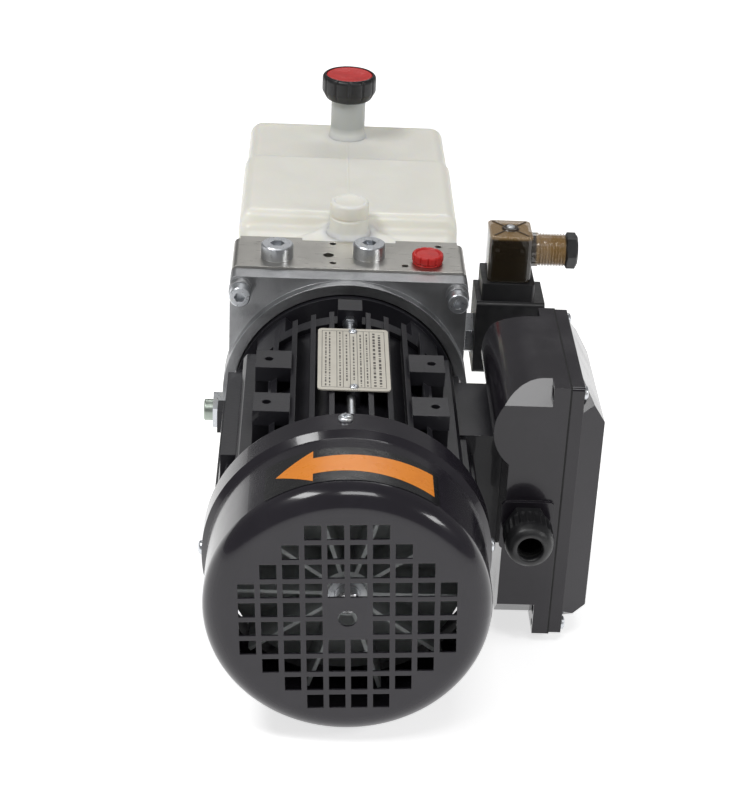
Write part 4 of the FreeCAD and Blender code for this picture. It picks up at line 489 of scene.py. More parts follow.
def block_aluminium():
    """Milled aluminium with close straight tool marks across the block and a few dull patches."""
    finish = bare_metal("block_aluminium", (0.58, 0.565, 0.53), 0.27, (0.06, 1, 1), 0.12, 0.0005, 1400)
    finish.tint(finish.ranged(finish.noise(24, 6, distortion=0.8), 0.45, 0.7, 0.0, 0.4), (0.36, 0.35, 0.33))
    scratches = finish.ranged(finish.noise(70, 2, (1, 0.05, 1), distortion=0.5), 0.66, 0.70)
    finish.tint(finish.sums("MULTIPLY", scratches, 0.3), (0.85, 0.86, 0.87))
    return finish.material


def bush_bronze():
    """Bearing bronze."""
    return bare_metal("bush_bronze", (0.60, 0.40, 0.18), 0.3, (1, 1, 1), 0.1, 0.0003).material


def pipe_plastic():
    """Off-white plastic of the pump's return tube and strainer."""
    finish = Finish("pipe_plastic", (0.55, 0.56, 0.54), 0.42, Subsurface_Weight=0.1, Subsurface_Scale=0.002)
    finish.relief(finish.noise(600, 3), 0.12, 0.0003)
    finish.tint(finish.patches(90, 4, 0.5, 0.8, 0.35), (0.40, 0.41, 0.39))
    return finish.material


def tank_plastic():
    """Milky natural polyethylene: light runs a little way into it, and its skin is waxy and uneven."""
    finish = Finish("tank_plastic", (0.88, 0.868, 0.80), 0.30, Subsurface_Weight=0.5,
                    Subsurface_Scale=0.012, Specular_IOR_Level=0.45)
    finish.shader.inputs["Subsurface Radius"].default_value = (1.0, 0.85, 0.55)
    cloudy = finish.ranged(finish.noise(14, 5, (1, 1, 0.5), distortion=0.6), 0.4, 0.72)
    finish.tint(finish.sums("MULTIPLY", cloudy, 0.5), (0.84, 0.825, 0.745))
    height = finish.add("ShaderNodeSeparateXYZ")
    finish.join(finish.place, height.inputs["Vector"])
    # Painted shade: the tank is tinted darker and warmer towards the bottom, below 0.12 m.
    deep = finish.ranged(height.outputs["Z"], 0.0, 0.12, 0.45, 0.0)
    finish.tint(deep, (0.80, 0.77, 0.65))
    # Painted shade: the filler neck above the tank's top is tinted grey, under the breather cap.
    neck = finish.ranged(height.outputs["Z"], 0.169, 0.174, 0.0, 0.75)
    behind = finish.ranged(height.outputs["Y"], 0.10, 0.11)
    finish.tint(finish.sums("MULTIPLY", neck, behind), (0.40, 0.42, 0.41))
    finish.wear(finish.patches(55, 5, 0.4, 0.75, 0.6), 0.5)
    finish.relief(finish.noise(320, 3), 0.12, 0.0005)
    finish.relief(finish.noise(45, 2), 0.25, 0.0012)
    return finish.material


def red_plastic():
    """Soft red plastic of the transit cap and the breather's disc."""
    finish = Finish("red_plastic", (0.58, 0.018, 0.016), 0.38, Subsurface_Weight=0.12,
                    Subsurface_Scale=0.0015)
    finish.soft_corners(0.0004)
    finish.tint(finish.patches(110, 5, 0.45, 0.75, 0.55), (0.40, 0.012, 0.012))
    finish.wear(finish.patches(240, 4, 0.4, 0.7), 0.55)
    finish.relief(finish.noise(900, 3), 0.2, 0.0003)
    return finish.material


def hood_plastic():
    """Smoky clear plastic of the valve's plug: dark walls, and painted light in amber on the top and the
    threaded neck.
    """
    finish = Finish("hood_plastic", (0.030, 0.022, 0.012), 0.05, Alpha=0.62, Specular_IOR_Level=0.6,
                    Coat_Weight=0.6, Coat_Roughness=0.03)
    finish.tint(finish.patches(120, 4, 0.45, 0.75, 0.5), (0.014, 0.010, 0.006))
    place = finish.add("ShaderNodeSeparateXYZ")
    finish.join(finish.place, place.inputs["Vector"])
    # Painted light: the top face and the threaded neck are tinted amber, as if lit through the clear
    # plastic.
    top = finish.ranged(place.outputs["Z"], 0.1855, 0.1865)
    neck = finish.ranged(place.outputs["X"], 0.116, 0.117)
    finish.tint(finish.sums("MAXIMUM", top, neck), (0.36, 0.225, 0.09))
    finish.wear(finish.patches(180, 4, 0.5, 0.8, 0.6), 0.2)
    finish.relief(finish.noise(260, 3), 0.06, 0.0004)
    return finish.material


def smoked_plastic():
    """Dark amber plastic where the hood is thick."""
    finish = Finish("smoked_plastic", (0.035, 0.022, 0.012), 0.25, Coat_Weight=0.3)
    finish.tint(finish.patches(220, 4, 0.45, 0.75, 0.6), (0.06, 0.04, 0.02))
    finish.relief(finish.noise(500, 3), 0.1, 0.0003)
    return finish.material


def nameplate_print():
    """Satin beige foil."""
    finish = Finish("nameplate_print", (0.56, 0.53, 0.46), 0.34, 0.25)
    finish.tint(finish.patches(60, 5, 0.45, 0.75, 0.35), (0.42, 0.39, 0.33))
    finish.wear(finish.ranged(finish.noise(300, 4, (0.1, 1, 1)), 0.4, 0.7), 0.48)
    finish.relief(finish.noise(700, 2), 0.06, 0.0002)
    return finish.material


def label_print():
    """Gloss black printed film."""
    finish = Finish("label_print", (0.006, 0.006, 0.007), 0.2, Coat_Weight=0.3)
    finish.tint(finish.patches(80, 5, 0.5, 0.8, 0.5), (0.016, 0.016, 0.017))
    finish.wear(finish.patches(140, 4, 0.4, 0.7), 0.32)
    finish.relief(finish.noise(180, 2), 0.05, 0.0003)
    return finish.material


def arrow_print():
    """Orange ink on the label."""
    finish = Finish("arrow_print", (0.86, 0.27, 0.02), 0.26, Coat_Weight=0.3)
    finish.tint(finish.patches(90, 5, 0.5, 0.8, 0.5), (0.74, 0.20, 0.012))
    finish.wear(finish.patches(140, 4, 0.4, 0.7), 0.38)
    finish.relief(finish.noise(180, 2), 0.05, 0.0003)
    return finish.material


def plate_ink():
    """Dark ink of the nameplate's lines."""
    finish = Finish("plate_ink", (0.055, 0.045, 0.04), 0.45)
    finish.tint(finish.patches(500, 4, 0.5, 0.8, 0.5), (0.14, 0.12, 0.10))
    finish.relief(finish.noise(700, 2), 0.05, 0.0002)
    return finish.material


FINISH_MAKERS = {maker.__name__: maker for maker in (
    motor_paint, cowl_paint, box_paint, laminated_steel, copper_winding, ground_steel, fan_plastic,
    zinc_steel, adjuster_steel, nameplate_print, label_print, rubber, black_plastic, capacitor_plastic,
    board_plastic, cast_aluminium, block_aluminium, bush_bronze, pipe_plastic, tank_plastic, red_plastic,
    hood_plastic, smoked_plastic, arrow_print, plate_ink)}


def finish(name):
    """The finish of that name, made the first time that it is asked for."""
    made = bpy.data.materials.get("finish " + name)
    if made is None:
        made = FINISH_MAKERS[name]()
        made.name = "finish " + name
    return made


# Pieces on the frame

class DressFrame(bpy.types.Operator):
    """Give every CAD node the finish of its material slot"""
    bl_idname = "power_unit.dress_frame"
    bl_label = "Dress the frame"

    def execute(self, context):
        for part in frame["record"]["subparts"]:
            mesh = frame["nodes"][part["node"]].data
            mesh.materials.clear()
            mesh.materials.append(finish(part["material_slot"]))
        return {"FINISHED"}


def finished(piece, body, slot, *nodes):
    """Tie a piece to the body that it rides on, and hide the CAD nodes that it stands for. The material
    slot is not used.
    """
    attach(piece, body)
    if nodes:
        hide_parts(*nodes)
    return piece


def smooth_step(value):
    """Zero below 0, one above 1 and a smooth rise between."""
    held = np.clip(value, 0, 1)
    return held * held * (3 - 2 * held)


def divided(points, step, closed=False):
    """An outline with points added so that no side is longer than the step."""
    sides = list(zip(points, np.roll(points, -1, axis=0)))
    if not closed:
        sides = sides[:-1]
    runs = []
    for start, end in sides:
        count = max(1, int(np.ceil(np.linalg.norm(end - start) / step)))
        runs.append(start + (end - start) * (np.arange(count) / count)[:, None])
    if not closed:
        runs.append(points[-1:])
    return np.concatenate(runs)


# The tank, measured from its front face and from the motor's axis

TANK_SHOULDER = 34 * MM
TANK_CREASE = 136 * MM
TANK_RISE = 84 * MM
TANK_CENTRE = 82 * MM
FRONT_DROP = 11 * MM
BOSS_PLACE = 27 * MM
BOSS_RISE = 97 * MM
BOSS_RADIUS = 12.7 * MM
NECK_PLACE = 189 * MM
NECK_RISE = 122 * MM
NECK_RADIUS = 12.25 * MM
NECK_WALL = 2.4 * MM
CORNER_SHARE = 0.12
SIDE_SHARE = 1 - CORNER_SHARE
FACE_EDGE = 0.999
SEAM_HALF = 0.5 * MM
SEAM_PLACES = (0.02, 0.01, 0.004, 0.0, -0.004, -0.01, -0.02)
FUNNEL_HALF = 17 * MM
FUNNEL_SPREAD = 1.05


class TankSizes(bpy.types.PropertyGroup):
    """The blown tank's soft forms"""
    corner: length_size("Corner", "Radius of the long corners", 9 * MM)
    edge: length_size("Edge", "How far the folds of the wall are rounded", 6.5 * MM)
    sag: length_size("Sag", "How far the flat faces sink in", 1.1 * MM)
    seam: length_size("Seam", "Height of the mould's parting line", 0.3 * MM)
    funnel: length_size("Funnel", "Height of the swelling round the front boss", 2.4 * MM)


class AddTank(bpy.types.Operator):
    """Make the tank's wall, its front boss and its filler neck"""
    bl_idname = "power_unit.add_tank"
    bl_label = "Tank"

    def execute(self, context):
        sizes = context.scene.power_unit_tank
        low, high = node_box("tank")
        front = low[1]
        shoulder = front + TANK_SHOULDER
        crease = front + TANK_CREASE
        top = AXIS_HEIGHT + TANK_RISE
        tank = [self.wall(sizes, low, high, front, shoulder, crease, top), self.boss(front, top),
                self.neck(front, top)]
        piece = mesh_piece("tank_wall", tank, finish("tank_plastic"), crease=50)
        finished(piece, "power_unit", "tank_plastic", "tank")
        return {"FINISHED"}

    def wall(self, sizes, low, high, front, shoulder, crease, top):
        """Rounded rectangles carried from the block to the tank's back.

        Each row of the outline gives a section's place, half width, top and bottom. Its folds are eased,
        the flat faces sink in by a parabola, and the parting line and the swelling round the boss are
        added to the height.
        """
        wide = high[0]
        bottom = low[2]
        centre = TANK_CENTRE
        back = high[1]
        outline = [
            (front, 0, centre, centre), (front, wide, top - FRONT_DROP, bottom + 2 * MM),
            (shoulder - 1.5 * MM, wide, top - FRONT_DROP, bottom + 2 * MM),
            (shoulder + 2 * MM, wide, top, bottom), (crease, wide, top, bottom),
            (crease + 3 * MM, wide - 1.4 * MM, top - 0.9 * MM, bottom + 0.6 * MM),
            (back, wide - 1.6 * MM, top - 2.4 * MM, bottom + 1.2 * MM), (back, 0, centre, centre)]
        rows = divided(eased(outline, sizes.edge, 6), 2.5 * MM)
        place, half, high_side, low_side = (rows[:, index:index + 1] for index in range(4))
        tall = (high_side - low_side) / 2
        unit = divided(rounded_rectangle(1.0, 1.0, CORNER_SHARE, 6), 0.03, closed=True)
        seam = np.array([(place_across, 1.0) for place_across in SEAM_PLACES])
        flat = (np.abs(unit[:, 0]) < 0.03) & (unit[:, 1] > 0.99)
        kept = unit[~flat]
        first = int(np.sum(~flat[:np.argmax(flat)]))
        unit = np.concatenate([kept[:first], seam, kept[first:]])
        reach = np.minimum(sizes.corner, np.minimum(half, tall) * 0.98)
        corner = np.sign(unit)[None] * np.clip((np.abs(unit) - SIDE_SHARE) / CORNER_SHARE, 0, None)[None]
        straight = np.clip(np.abs(unit), 0, SIDE_SHARE)[None] / SIDE_SHARE * np.sign(unit)[None]
        x = straight[..., 0] * (half - reach) + corner[..., 0] * reach
        upward = straight[..., 1] * (tall - reach) + corner[..., 1] * reach
        z = upward + (high_side + low_side) / 2
        along = smooth_step((place - front) / (12 * MM)) * smooth_step((back - place) / (14 * MM))
        bay = np.abs(np.sin((place - crease) / (crease - shoulder) * math.pi)) ** 0.5
        on_top, on_side = (np.clip(np.abs(unit[None, :, side]) - FACE_EDGE, 0, 0.001) / 0.001
                           for side in (1, 0))
        sink = sizes.sag * along * bay
        z = z - np.sign(unit[None, :, 1]) * on_top * sink * (1 - np.clip(x / half.max(), -1, 1) ** 2)
        x = x - np.sign(unit[None, :, 0]) * on_side * sink * (1 - np.clip(upward / tall.max(), -1, 1) ** 2)
        ridge = sizes.seam * np.exp(-(x / SEAM_HALF) ** 2) * along
        spread = FUNNEL_HALF + (shoulder - place) * FUNNEL_SPREAD
        swell = smooth_step((spread - np.abs(x)) / (3.5 * MM))
        swell = swell * smooth_step((shoulder + 1 * MM - place) / (3 * MM))
        swell = swell * smooth_step((place - front) / (2 * MM))
        upper = (unit[None, :, 1] > FACE_EDGE) * 1.0
        z = z + upper * (ridge + sizes.funnel * swell)
        return np.stack([x, np.broadcast_to(place, x.shape), z], axis=-1), True

    def boss(self, front, top):
        """The closed spare boss: a turned post with a bead below its rim and a dished top."""
        base = top - 10.5 * MM
        rim = AXIS_HEIGHT + BOSS_RISE
        radius = BOSS_RADIUS
        outline = [
            (0, base - 3 * MM), (radius + 5 * MM, base - 1 * MM), (radius + 1.6 * MM, base + 1.6 * MM),
            (radius, base + 4 * MM), (radius, rim - 11.4 * MM), (radius - 0.7 * MM, rim - 10.9 * MM),
            (radius - 0.7 * MM, rim - 9.8 * MM), (radius, rim - 9.2 * MM), (radius, rim - 1.2 * MM),
            (radius - 1.2 * MM, rim), (radius - 2.6 * MM, rim), (radius - 3.4 * MM, rim - 0.7 * MM),
            (4 * MM, rim - 0.9 * MM), (0, rim - 1.1 * MM)]
        return lathe(eased(outline, 0.7 * MM, 3), (0, front + BOSS_PLACE, 0), steps=72)

    def neck(self, front, top):
        """The filler neck, flared into the tank's top and open down its middle."""
        rim = AXIS_HEIGHT + NECK_RISE
        radius = NECK_RADIUS
        bore = radius - NECK_WALL
        outline = [
            (0, top - 12 * MM), (bore, top - 12 * MM), (bore, rim), (radius, rim), (radius, top + 3 * MM),
            (radius + 0.4 * MM, top + 0.4 * MM), (radius + 1.2 * MM, top - 3 * MM),
            (bore + 0.4 * MM, top - 12.4 * MM), (0, top - 12.4 * MM)]
        return lathe(eased(outline, 0.8 * MM, 3), (0, front + NECK_PLACE, 0), steps=72)


# The breather cap's skirt, and the gap round its red disc

SKIRT_RADIUS = 12.9 * MM
DISC_GAP = 0.15 * MM


class CapSizes(bpy.types.PropertyGroup):
    """The breather cap and the red transit cap"""
    lobes: IntProperty(name="Lobes", description="Grip lobes round the breather cap", default=12, min=3)
    groove: length_size("Groove", "Depth of the breather cap's grooves", 0.75 * MM)
    dish: length_size("Dish", "How far the red disc is hollowed", 1.0 * MM)
    notches: IntProperty(name="Notches", description="Notches round the transit cap", default=12, min=3)


class AddCaps(bpy.types.Operator):
    """Make the breather cap with its red disc, and the red transit cap"""
    bl_idname = "power_unit.add_caps"
    bl_label = "Caps"

    def execute(self, context):
        sizes = context.scene.power_unit_caps
        low, high = node_box("filler_cap")
        centre = upright_centre(low, high)
        radius = (high[0] - low[0]) / 2
        disc_low, disc_high = node_box("filler_cap_disc")
        disc_radius = (disc_high[0] - disc_low[0]) / 2
        grip = mesh_piece("breather_grip", [self.grip(sizes, centre, radius, low[2], high[2], disc_radius)],
                          finish("black_plastic"), crease=40)
        finished(grip, "breather_cap", "black_plastic", "filler_cap")
        disc = mesh_piece("breather_disc", [self.disc(sizes, centre, disc_radius - DISC_GAP, high[2])],
                          finish("red_plastic"), crease=50)
        finished(disc, "breather_cap", "red_plastic", "filler_cap_disc")
        self.transit_cap(sizes)
        return {"FINISHED"}

    def grip(self, sizes, centre, radius, low, high, inner):
        """A turned cap whose side is pressed in by narrow grooves: a high power of a cosine wave."""
        skirt = SKIRT_RADIUS
        outline = [
            (0, high - 4 * MM), (skirt, high - 4 * MM), (skirt, low), (radius - 4.2 * MM, low),
            (radius - 3 * MM, low + 0.8 * MM), (radius - 0.2 * MM, low + 6 * MM), (radius, low + 7 * MM),
            (radius, high - 2.6 * MM), (radius - 0.7 * MM, high - 1 * MM),
            (radius - 2.0 * MM, high - 0.1 * MM), (inner + 0.05 * MM, high - 0.1 * MM),
            (inner, high - 0.6 * MM), (inner, high - 2.2 * MM), (0, high - 2.4 * MM)]
        outline = divided(eased(outline, 0.8 * MM, 3), 1.2 * MM)

        def grooves(angle, reach, height):
            press = np.maximum(np.cos(angle * sizes.lobes), 0) ** 8 * sizes.groove
            outside = smooth_step((reach - inner - 0.6 * MM) / (1.2 * MM))
            return 1 - press * outside / np.maximum(reach, MM)

        return lathe(outline, centre, steps=sizes.lobes * 24, wave=grooves)

    def disc(self, sizes, centre, radius, high):
        """A round disc hollowed by a parabola, with three shallow finger dents and a rounded rim."""
        angle = np.arange(96)[None, :] / 96 * TURN
        inward = np.linspace(0, 1, 34)[:, None]
        hollow = sizes.dish * (1 - inward ** 2)
        dents = 0.45 * MM * np.exp(-((inward - 0.55) / 0.2) ** 2) * (0.5 + 0.5 * np.cos(3 * angle))
        rim = 0.7 * MM * smooth_step((inward - 0.93) / 0.07)
        height = high - 0.2 * MM - hollow - dents - rim
        reach = radius * inward * np.ones_like(angle)
        face = np.stack([reach * np.cos(angle), reach * np.sin(angle), height], axis=-1)
        under = face[::-1].copy()
        under[..., 2] = high - 2.0 * MM
        grid = np.concatenate([face, under]) + np.array(centre)
        return grid, True

    def transit_cap(self, sizes):
        """A turned cap with a stub in the port, a foot, a notched grip and a rimmed top."""
        low, high = node_box("red_port_cap")
        centre = upright_centre(low, high)
        radius = (high[0] - low[0]) / 2
        face = node_box("manifold_block")[1][2]
        outline = [
            (0, low[2]), (radius * 0.72, low[2]), (radius * 0.78, low[2] + 0.8 * MM),
            (radius * 0.78, face + 0.05 * MM), (radius * 0.95, face + 0.05 * MM),
            (radius * 0.95, face + 0.9 * MM), (radius * 0.88, face + 1.2 * MM),
            (radius, face + 2 * MM), (radius, high[2] - 1.1 * MM), (radius * 0.94, high[2]),
            (radius * 0.80, high[2]), (radius * 0.72, high[2] - 1.1 * MM), (0, high[2] - 1.2 * MM)]
        outline = divided(eased(outline, 0.5 * MM, 3), 1.0 * MM)

        def notched(angle, reach, height):
            press = np.maximum(np.cos(angle * sizes.notches), 0) ** 6 * 0.9 * MM
            outside = smooth_step((reach - radius * 0.84) / (0.8 * MM)) * (height > face + 1.2 * MM)
            return 1 - press * outside / np.maximum(reach, MM)

        turned = lathe(outline, centre, steps=sizes.notches * 16, wave=notched)
        cap = mesh_piece("transit_cap_grip", [turned], finish("red_plastic"), crease=40)
        finished(cap, "transit_cap", "red_plastic", "red_port_cap")


# Parts of a pan head's height, radius or width

RIM_DROP = 0.42
CROSS_REACH = 0.66
HEAD_SHARE = 0.66
HEAD_LIMIT = 2.6 * MM


class ScrewSizes(bpy.types.PropertyGroup):
    """The cross-recessed pan screws"""
    recess: FloatProperty(name="Recess", description="Depth of the cross as a part of the head's height",
                          default=0.6, min=0, max=1)
    blade: FloatProperty(
        name="Blade", description="Half width of the cross's arms as a part of the head's radius",
        default=0.15, min=0, max=0.5)


def pan_head(sizes, place, direction, radius, height, turn):
    """A pan head: an eased dome with a cross pressed into it.

    The dome's height falls with the fourth power of the radius. The cross is the smaller distance to
    two lines at right angles, faded out at two thirds of the radius, and lowers the dome smoothly.
    """
    angle = np.arange(72)[None, :] / 72 * TURN
    inward = np.linspace(0, 1, 30)[:, None]
    reach = radius * inward * np.ones_like(angle)
    x, y = reach * np.cos(angle + turn), reach * np.sin(angle + turn)
    dome = height * (1 - RIM_DROP * inward ** 4)
    arm = np.minimum(np.abs(x), np.abs(y)) / (sizes.blade * radius)
    cross = smooth_step((1.35 - arm) / 0.6) * smooth_step((CROSS_REACH - inward) / 0.12)
    top = np.stack([x, y, dome - sizes.recess * height * cross], axis=-1)
    foot = top[-1:] * np.array([1.0, 1.0, 0.0])
    close = foot * 0
    local = np.concatenate([top, foot, close])
    return local @ frame_along(direction).T + np.array(place, float), True


def split_shells(name):
    """The loose solids of a CAD node: the corner points of each solid's box, found on a merged copy."""
    work = bmesh.new()
    work.from_mesh(frame["nodes"][name].data)
    bmesh.ops.remove_doubles(work, verts=work.verts, dist=1e-6)
    work.verts.ensure_lookup_table()
    seen = set()
    boxes = []
    for start in work.verts:
        if start in seen:
            continue
        group = [start]
        seen.add(start)
        for point in group:
            fresh = [edge.other_vert(point) for edge in point.link_edges]
            for other in fresh:
                if other not in seen:
                    seen.add(other)
                    group.append(other)
        places = np.array([point.co[:] for point in group])
        boxes.append((places.min(axis=0), places.max(axis=0)))
    work.free()
    return boxes


class AddScrews(bpy.types.Operator):
    """Make the cross-recessed screws of the cowl, the terminal box, the tank and the nameplate"""
    bl_idname = "power_unit.add_screws"
    bl_label = "Screws"

    def execute(self, context):
        sizes = context.scene.power_unit_screws
        sets = (("cowl_pan_screws", "cowl_screws", self.from_axis),
                ("lid_pan_screws", "lid_screws", lambda centre: (1, 0, 0)),
                ("tank_pan_screws", "tank_screws", lambda centre: (np.sign(centre[0]), 0, 0)),
                ("nameplate_pan_screws", "nameplate_screws", lambda centre: (0, 0, 1)))
        for name, node, way in sets:
            sheets = []
            for number, (low, high) in enumerate(split_shells(node)):
                sheets += self.screw(sizes, low, high, np.array(way((low + high) / 2), float), number)
            piece = mesh_piece(name, sheets, finish("zinc_steel"), crease=45)
            finished(piece, "power_unit", "zinc_steel", node)
        return {"FINISHED"}

    def from_axis(self, centre):
        """The direction from the motor's axis, for a screw round the cowl."""
        outward = np.array([centre[0], 0, centre[2] - AXIS_HEIGHT])
        return outward / np.linalg.norm(outward)

    def screw(self, sizes, low, high, direction, number):
        """A head and a shank that reach as far along the direction as the CAD screw does.

        A level screw's tip is its box's far side. A turned one's box is its length times the direction
        plus its head's width across it, so its length is what is left after that width.
        """
        spread = high - low
        lead = int(np.argmax(np.abs(direction)))
        radius = spread[1] / 2 if lead != 1 else spread[0] / 2
        tilt = math.sqrt(max(0.0, 1 - direction[lead] ** 2))
        slack = radius * tilt
        tip_way = high if direction[lead] > 0 else low
        tall = min(radius * HEAD_SHARE, HEAD_LIMIT)
        centre = (low + high) / 2
        if tilt > 1e-3:
            reach = abs(tip_way[lead] - (AXIS_HEIGHT if lead == 2 else 0.0)) - slack
            centre = np.array([0, centre[1], AXIS_HEIGHT])
            tip = centre + direction * (reach / abs(direction[lead]))
        else:
            tip = centre.copy()
            tip[lead] = tip_way[lead]
        length = max((spread[lead] - tall) * 0.9, 1 * MM)
        place = tip - direction * tall
        core = radius * 0.5
        shank = lathe([(0, -length), (core, -length), (core, 0), (0, 0)], place, direction, 24)
        return [pan_head(sizes, place, direction, radius, tall, 0.5 + number * 0.9), shank]


# The nameplate's margins, and where its ruled lines stand across it

PLATE_SIDE = 2.4 * MM
PLATE_END = 3.2 * MM
PLATE_RULES = (0.235, 0.335, 0.445, 0.56, 0.665, 0.76)


class LabelSizes(bpy.types.PropertyGroup):
    """The direction label on the cowl and the motor's nameplate"""
    tip: angle_size("Arrow tip", "Angle of the arrow's tip from the top", math.radians(-31))
    head: angle_size("Arrow head", "Angle where the arrow's head ends", math.radians(-15.5))
    tail: angle_size("Arrow tail", "Angle of the arrow's tail", math.radians(33.5))
    head_half: length_size("Head half width", "Half the width of the arrow's head", 15.5 * MM)
    shaft_half: length_size("Shaft half width", "Half the width of the arrow's shaft", 8 * MM)
    line: length_size("Line", "Width of the nameplate's printed lines", 0.32 * MM)


def wrapped(angle, front, back, inner, outer, lean=0.0):
    """A thin plate wrapped on the cowl.

    Each row is a ring of four points at one angle from the top: the front and back edges at the outer
    radius and then at the inner one. Both ends are closed by a row that has shrunk to its middle.
    """
    y = np.stack([front, back, back, front], axis=1)
    radius = np.array([outer, outer, inner, inner])[None, :]
    turned = angle[:, None] + lean * (y - y.mean(axis=1, keepdims=True))
    rows = np.stack([radius * np.sin(turned), y, AXIS_HEIGHT + radius * np.cos(turned)], axis=-1)
    start = np.broadcast_to(rows[:1].mean(axis=1, keepdims=True), rows[:1].shape)
    end = np.broadcast_to(rows[-1:].mean(axis=1, keepdims=True), rows[-1:].shape)
    return np.concatenate([start, rows, end]), True


def slab(x, y, low, high, corner=0.0):
    """A flat rectangle of a small thickness, with round corners if a radius is given."""
    centre = np.array([sum(x) / 2, sum(y) / 2, low])
    half = (abs(x[1] - x[0]) / 2, abs(y[1] - y[0]) / 2)
    outline = rounded_rectangle(*half, corner, 6) if corner else \
        np.array([(half[0], half[1]), (-half[0], half[1]), (-half[0], -half[1]), (half[0], -half[1])])
    flat = np.concatenate([outline, np.zeros((len(outline), 1))], axis=1)
    rings = np.stack([flat, flat + (0, 0, high - low)])
    middle = np.array([0, 0, 1.0])
    return np.concatenate([rings[:1] * middle, rings, rings[-1:] * middle]) + centre, True


class AddLabels(bpy.types.Operator):
    """Make the wrapped direction label with its arrow, and the nameplate with its ruled lines"""
    bl_idname = "power_unit.add_labels"
    bl_label = "Labels"

    def execute(self, context):
        sizes = context.scene.power_unit_labels
        self.direction_label(sizes)
        self.nameplate(sizes)
        return {"FINISHED"}

    def direction_label(self, sizes):
        """A black film with round corners and an orange arrow against the fan's turn."""
        low, high = node_box("direction_label")
        outer = high[2] - AXIS_HEIGHT
        inner = outer - 0.3 * MM
        half_turn = math.asin(high[0] / outer)
        corner = 2.5 * MM
        angle = np.concatenate([np.linspace(-half_turn, -half_turn + corner / outer, 9),
                                np.linspace(-half_turn, half_turn, 120)[4:-4],
                                np.linspace(half_turn - corner / outer, half_turn, 9)])
        angle = np.unique(angle)
        depth = np.clip(corner - (half_turn - np.abs(angle)) * outer, 0, corner)
        drop = corner - np.sqrt(np.maximum(corner ** 2 - depth ** 2, 0))
        film = wrapped(angle, low[1] + drop, high[1] - drop, inner, outer - 0.06 * MM)
        label = mesh_piece("direction_film", [film], finish("label_print"), crease=30)
        finished(label, "power_unit", "label_print", "direction_label")
        middle = low[1] + (high[1] - low[1]) * 0.52
        head = np.linspace(sizes.tip, sizes.head, 24)
        reach = (head - sizes.tip) / (sizes.head - sizes.tip) * sizes.head_half + 0.02 * MM
        shaft = np.linspace(sizes.head + 1e-5, sizes.tail, 80)
        angle = np.concatenate([head, shaft])
        flare = 1 + 0.4 * ((shaft - sizes.head) / (sizes.tail - sizes.head)) ** 2
        half = np.concatenate([reach, sizes.shaft_half * flare])
        ink = wrapped(angle, middle - half, middle + half, outer - 0.08 * MM, outer)
        arrow = mesh_piece("direction_arrow", [ink], finish("arrow_print"), crease=30)
        finished(arrow, "power_unit", "label_print")

    def nameplate(self, sizes):
        """A thin plate with round corners, and a printed border, rules and short blank entries."""
        low, high = node_box("nameplate")
        top = high[2] - 0.05 * MM
        plate = slab((low[0], high[0]), (low[1], high[1]), low[2], top, 3 * MM)
        piece = mesh_piece("nameplate_foil", [plate], finish("nameplate_print"), crease=30)
        finished(piece, "power_unit", "nameplate_print", "nameplate")
        left, right = low[0] + PLATE_SIDE, high[0] - PLATE_SIDE
        near, far = low[1] + PLATE_END, high[1] - PLATE_END
        thin = sizes.line / 2
        strips = [(left - thin, left + thin, near, far), (right - thin, right + thin, near, far),
                  (left, right, near - thin, near + thin), (left, right, far - thin, far + thin)]
        rules = left + (right - left) * np.array(PLATE_RULES)
        strips += [(rule - thin, rule + thin, near, far) for rule in rules]
        random = np.random.default_rng(7)
        columns = np.concatenate([[left + 2.2 * MM, left + 4.4 * MM], (rules[:-1] + rules[1:]) / 2,
                                  [right - 6.2 * MM, right - 3.0 * MM]])
        for column in columns:
            place = near + 1.6 * MM
            while place < far - 3 * MM:
                length = random.uniform(0.8, 3.4) * MM
                wide = 0.42 * MM if column < rules[-1] else 0.7 * MM
                if not self.under_screw(column, place, low, high):
                    strips.append((column - wide, column + wide, place, place + length))
                place += length + random.uniform(0.7, 2.2) * MM
        sheets = [slab(strip[:2], strip[2:], top - 0.02 * MM, high[2] - 0.01 * MM) for strip in strips]
        ink = mesh_piece("nameplate_ink", sheets, finish("plate_ink"), weld=1e-8)
        finished(ink, "power_unit", "nameplate_print")

    def under_screw(self, x, y, low, high):
        """Whether a printed entry would run under one of the plate's two screws."""
        middle_x = (low[0] + high[0]) / 2
        reach = 4 * MM
        from_screw = min(abs(y - low[1] - reach), abs(high[1] - reach - y))
        return abs(x - middle_x) < reach and from_screw < 6 * MM


# The plug's own sizes, which its nodes' boxes don't give

HOOD_SPARE = 2.1 * MM
HOOD_NECK_RADIUS = 11 * MM
HOOD_NECK_WALL = 1.9 * MM
THREAD_START = 5 * MM
THREAD_DEPTH = 0.45 * MM
NUT_BORE = 4 * MM
NUT_TAIL_RADIUS = 8.6 * MM
NUT_TAIL_LENGTH = 8 * MM
NUT_CHAMFER = 1.1 * MM
FACE_SHARE = 0.94


class PlugSizes(bpy.types.PropertyGroup):
    """The valve's plug and the two cable glands"""
    wall: length_size("Wall", "Thickness of the clear hood", 1.6 * MM)
    corner: length_size("Corner", "Radius of the hood's corners", 3.2 * MM)
    threads: IntProperty(name="Threads", description="Ridges along the hood's neck", default=9, min=1)
    ribs: IntProperty(name="Ribs", description="Grip ribs round the cable gland's nut", default=24, min=3)


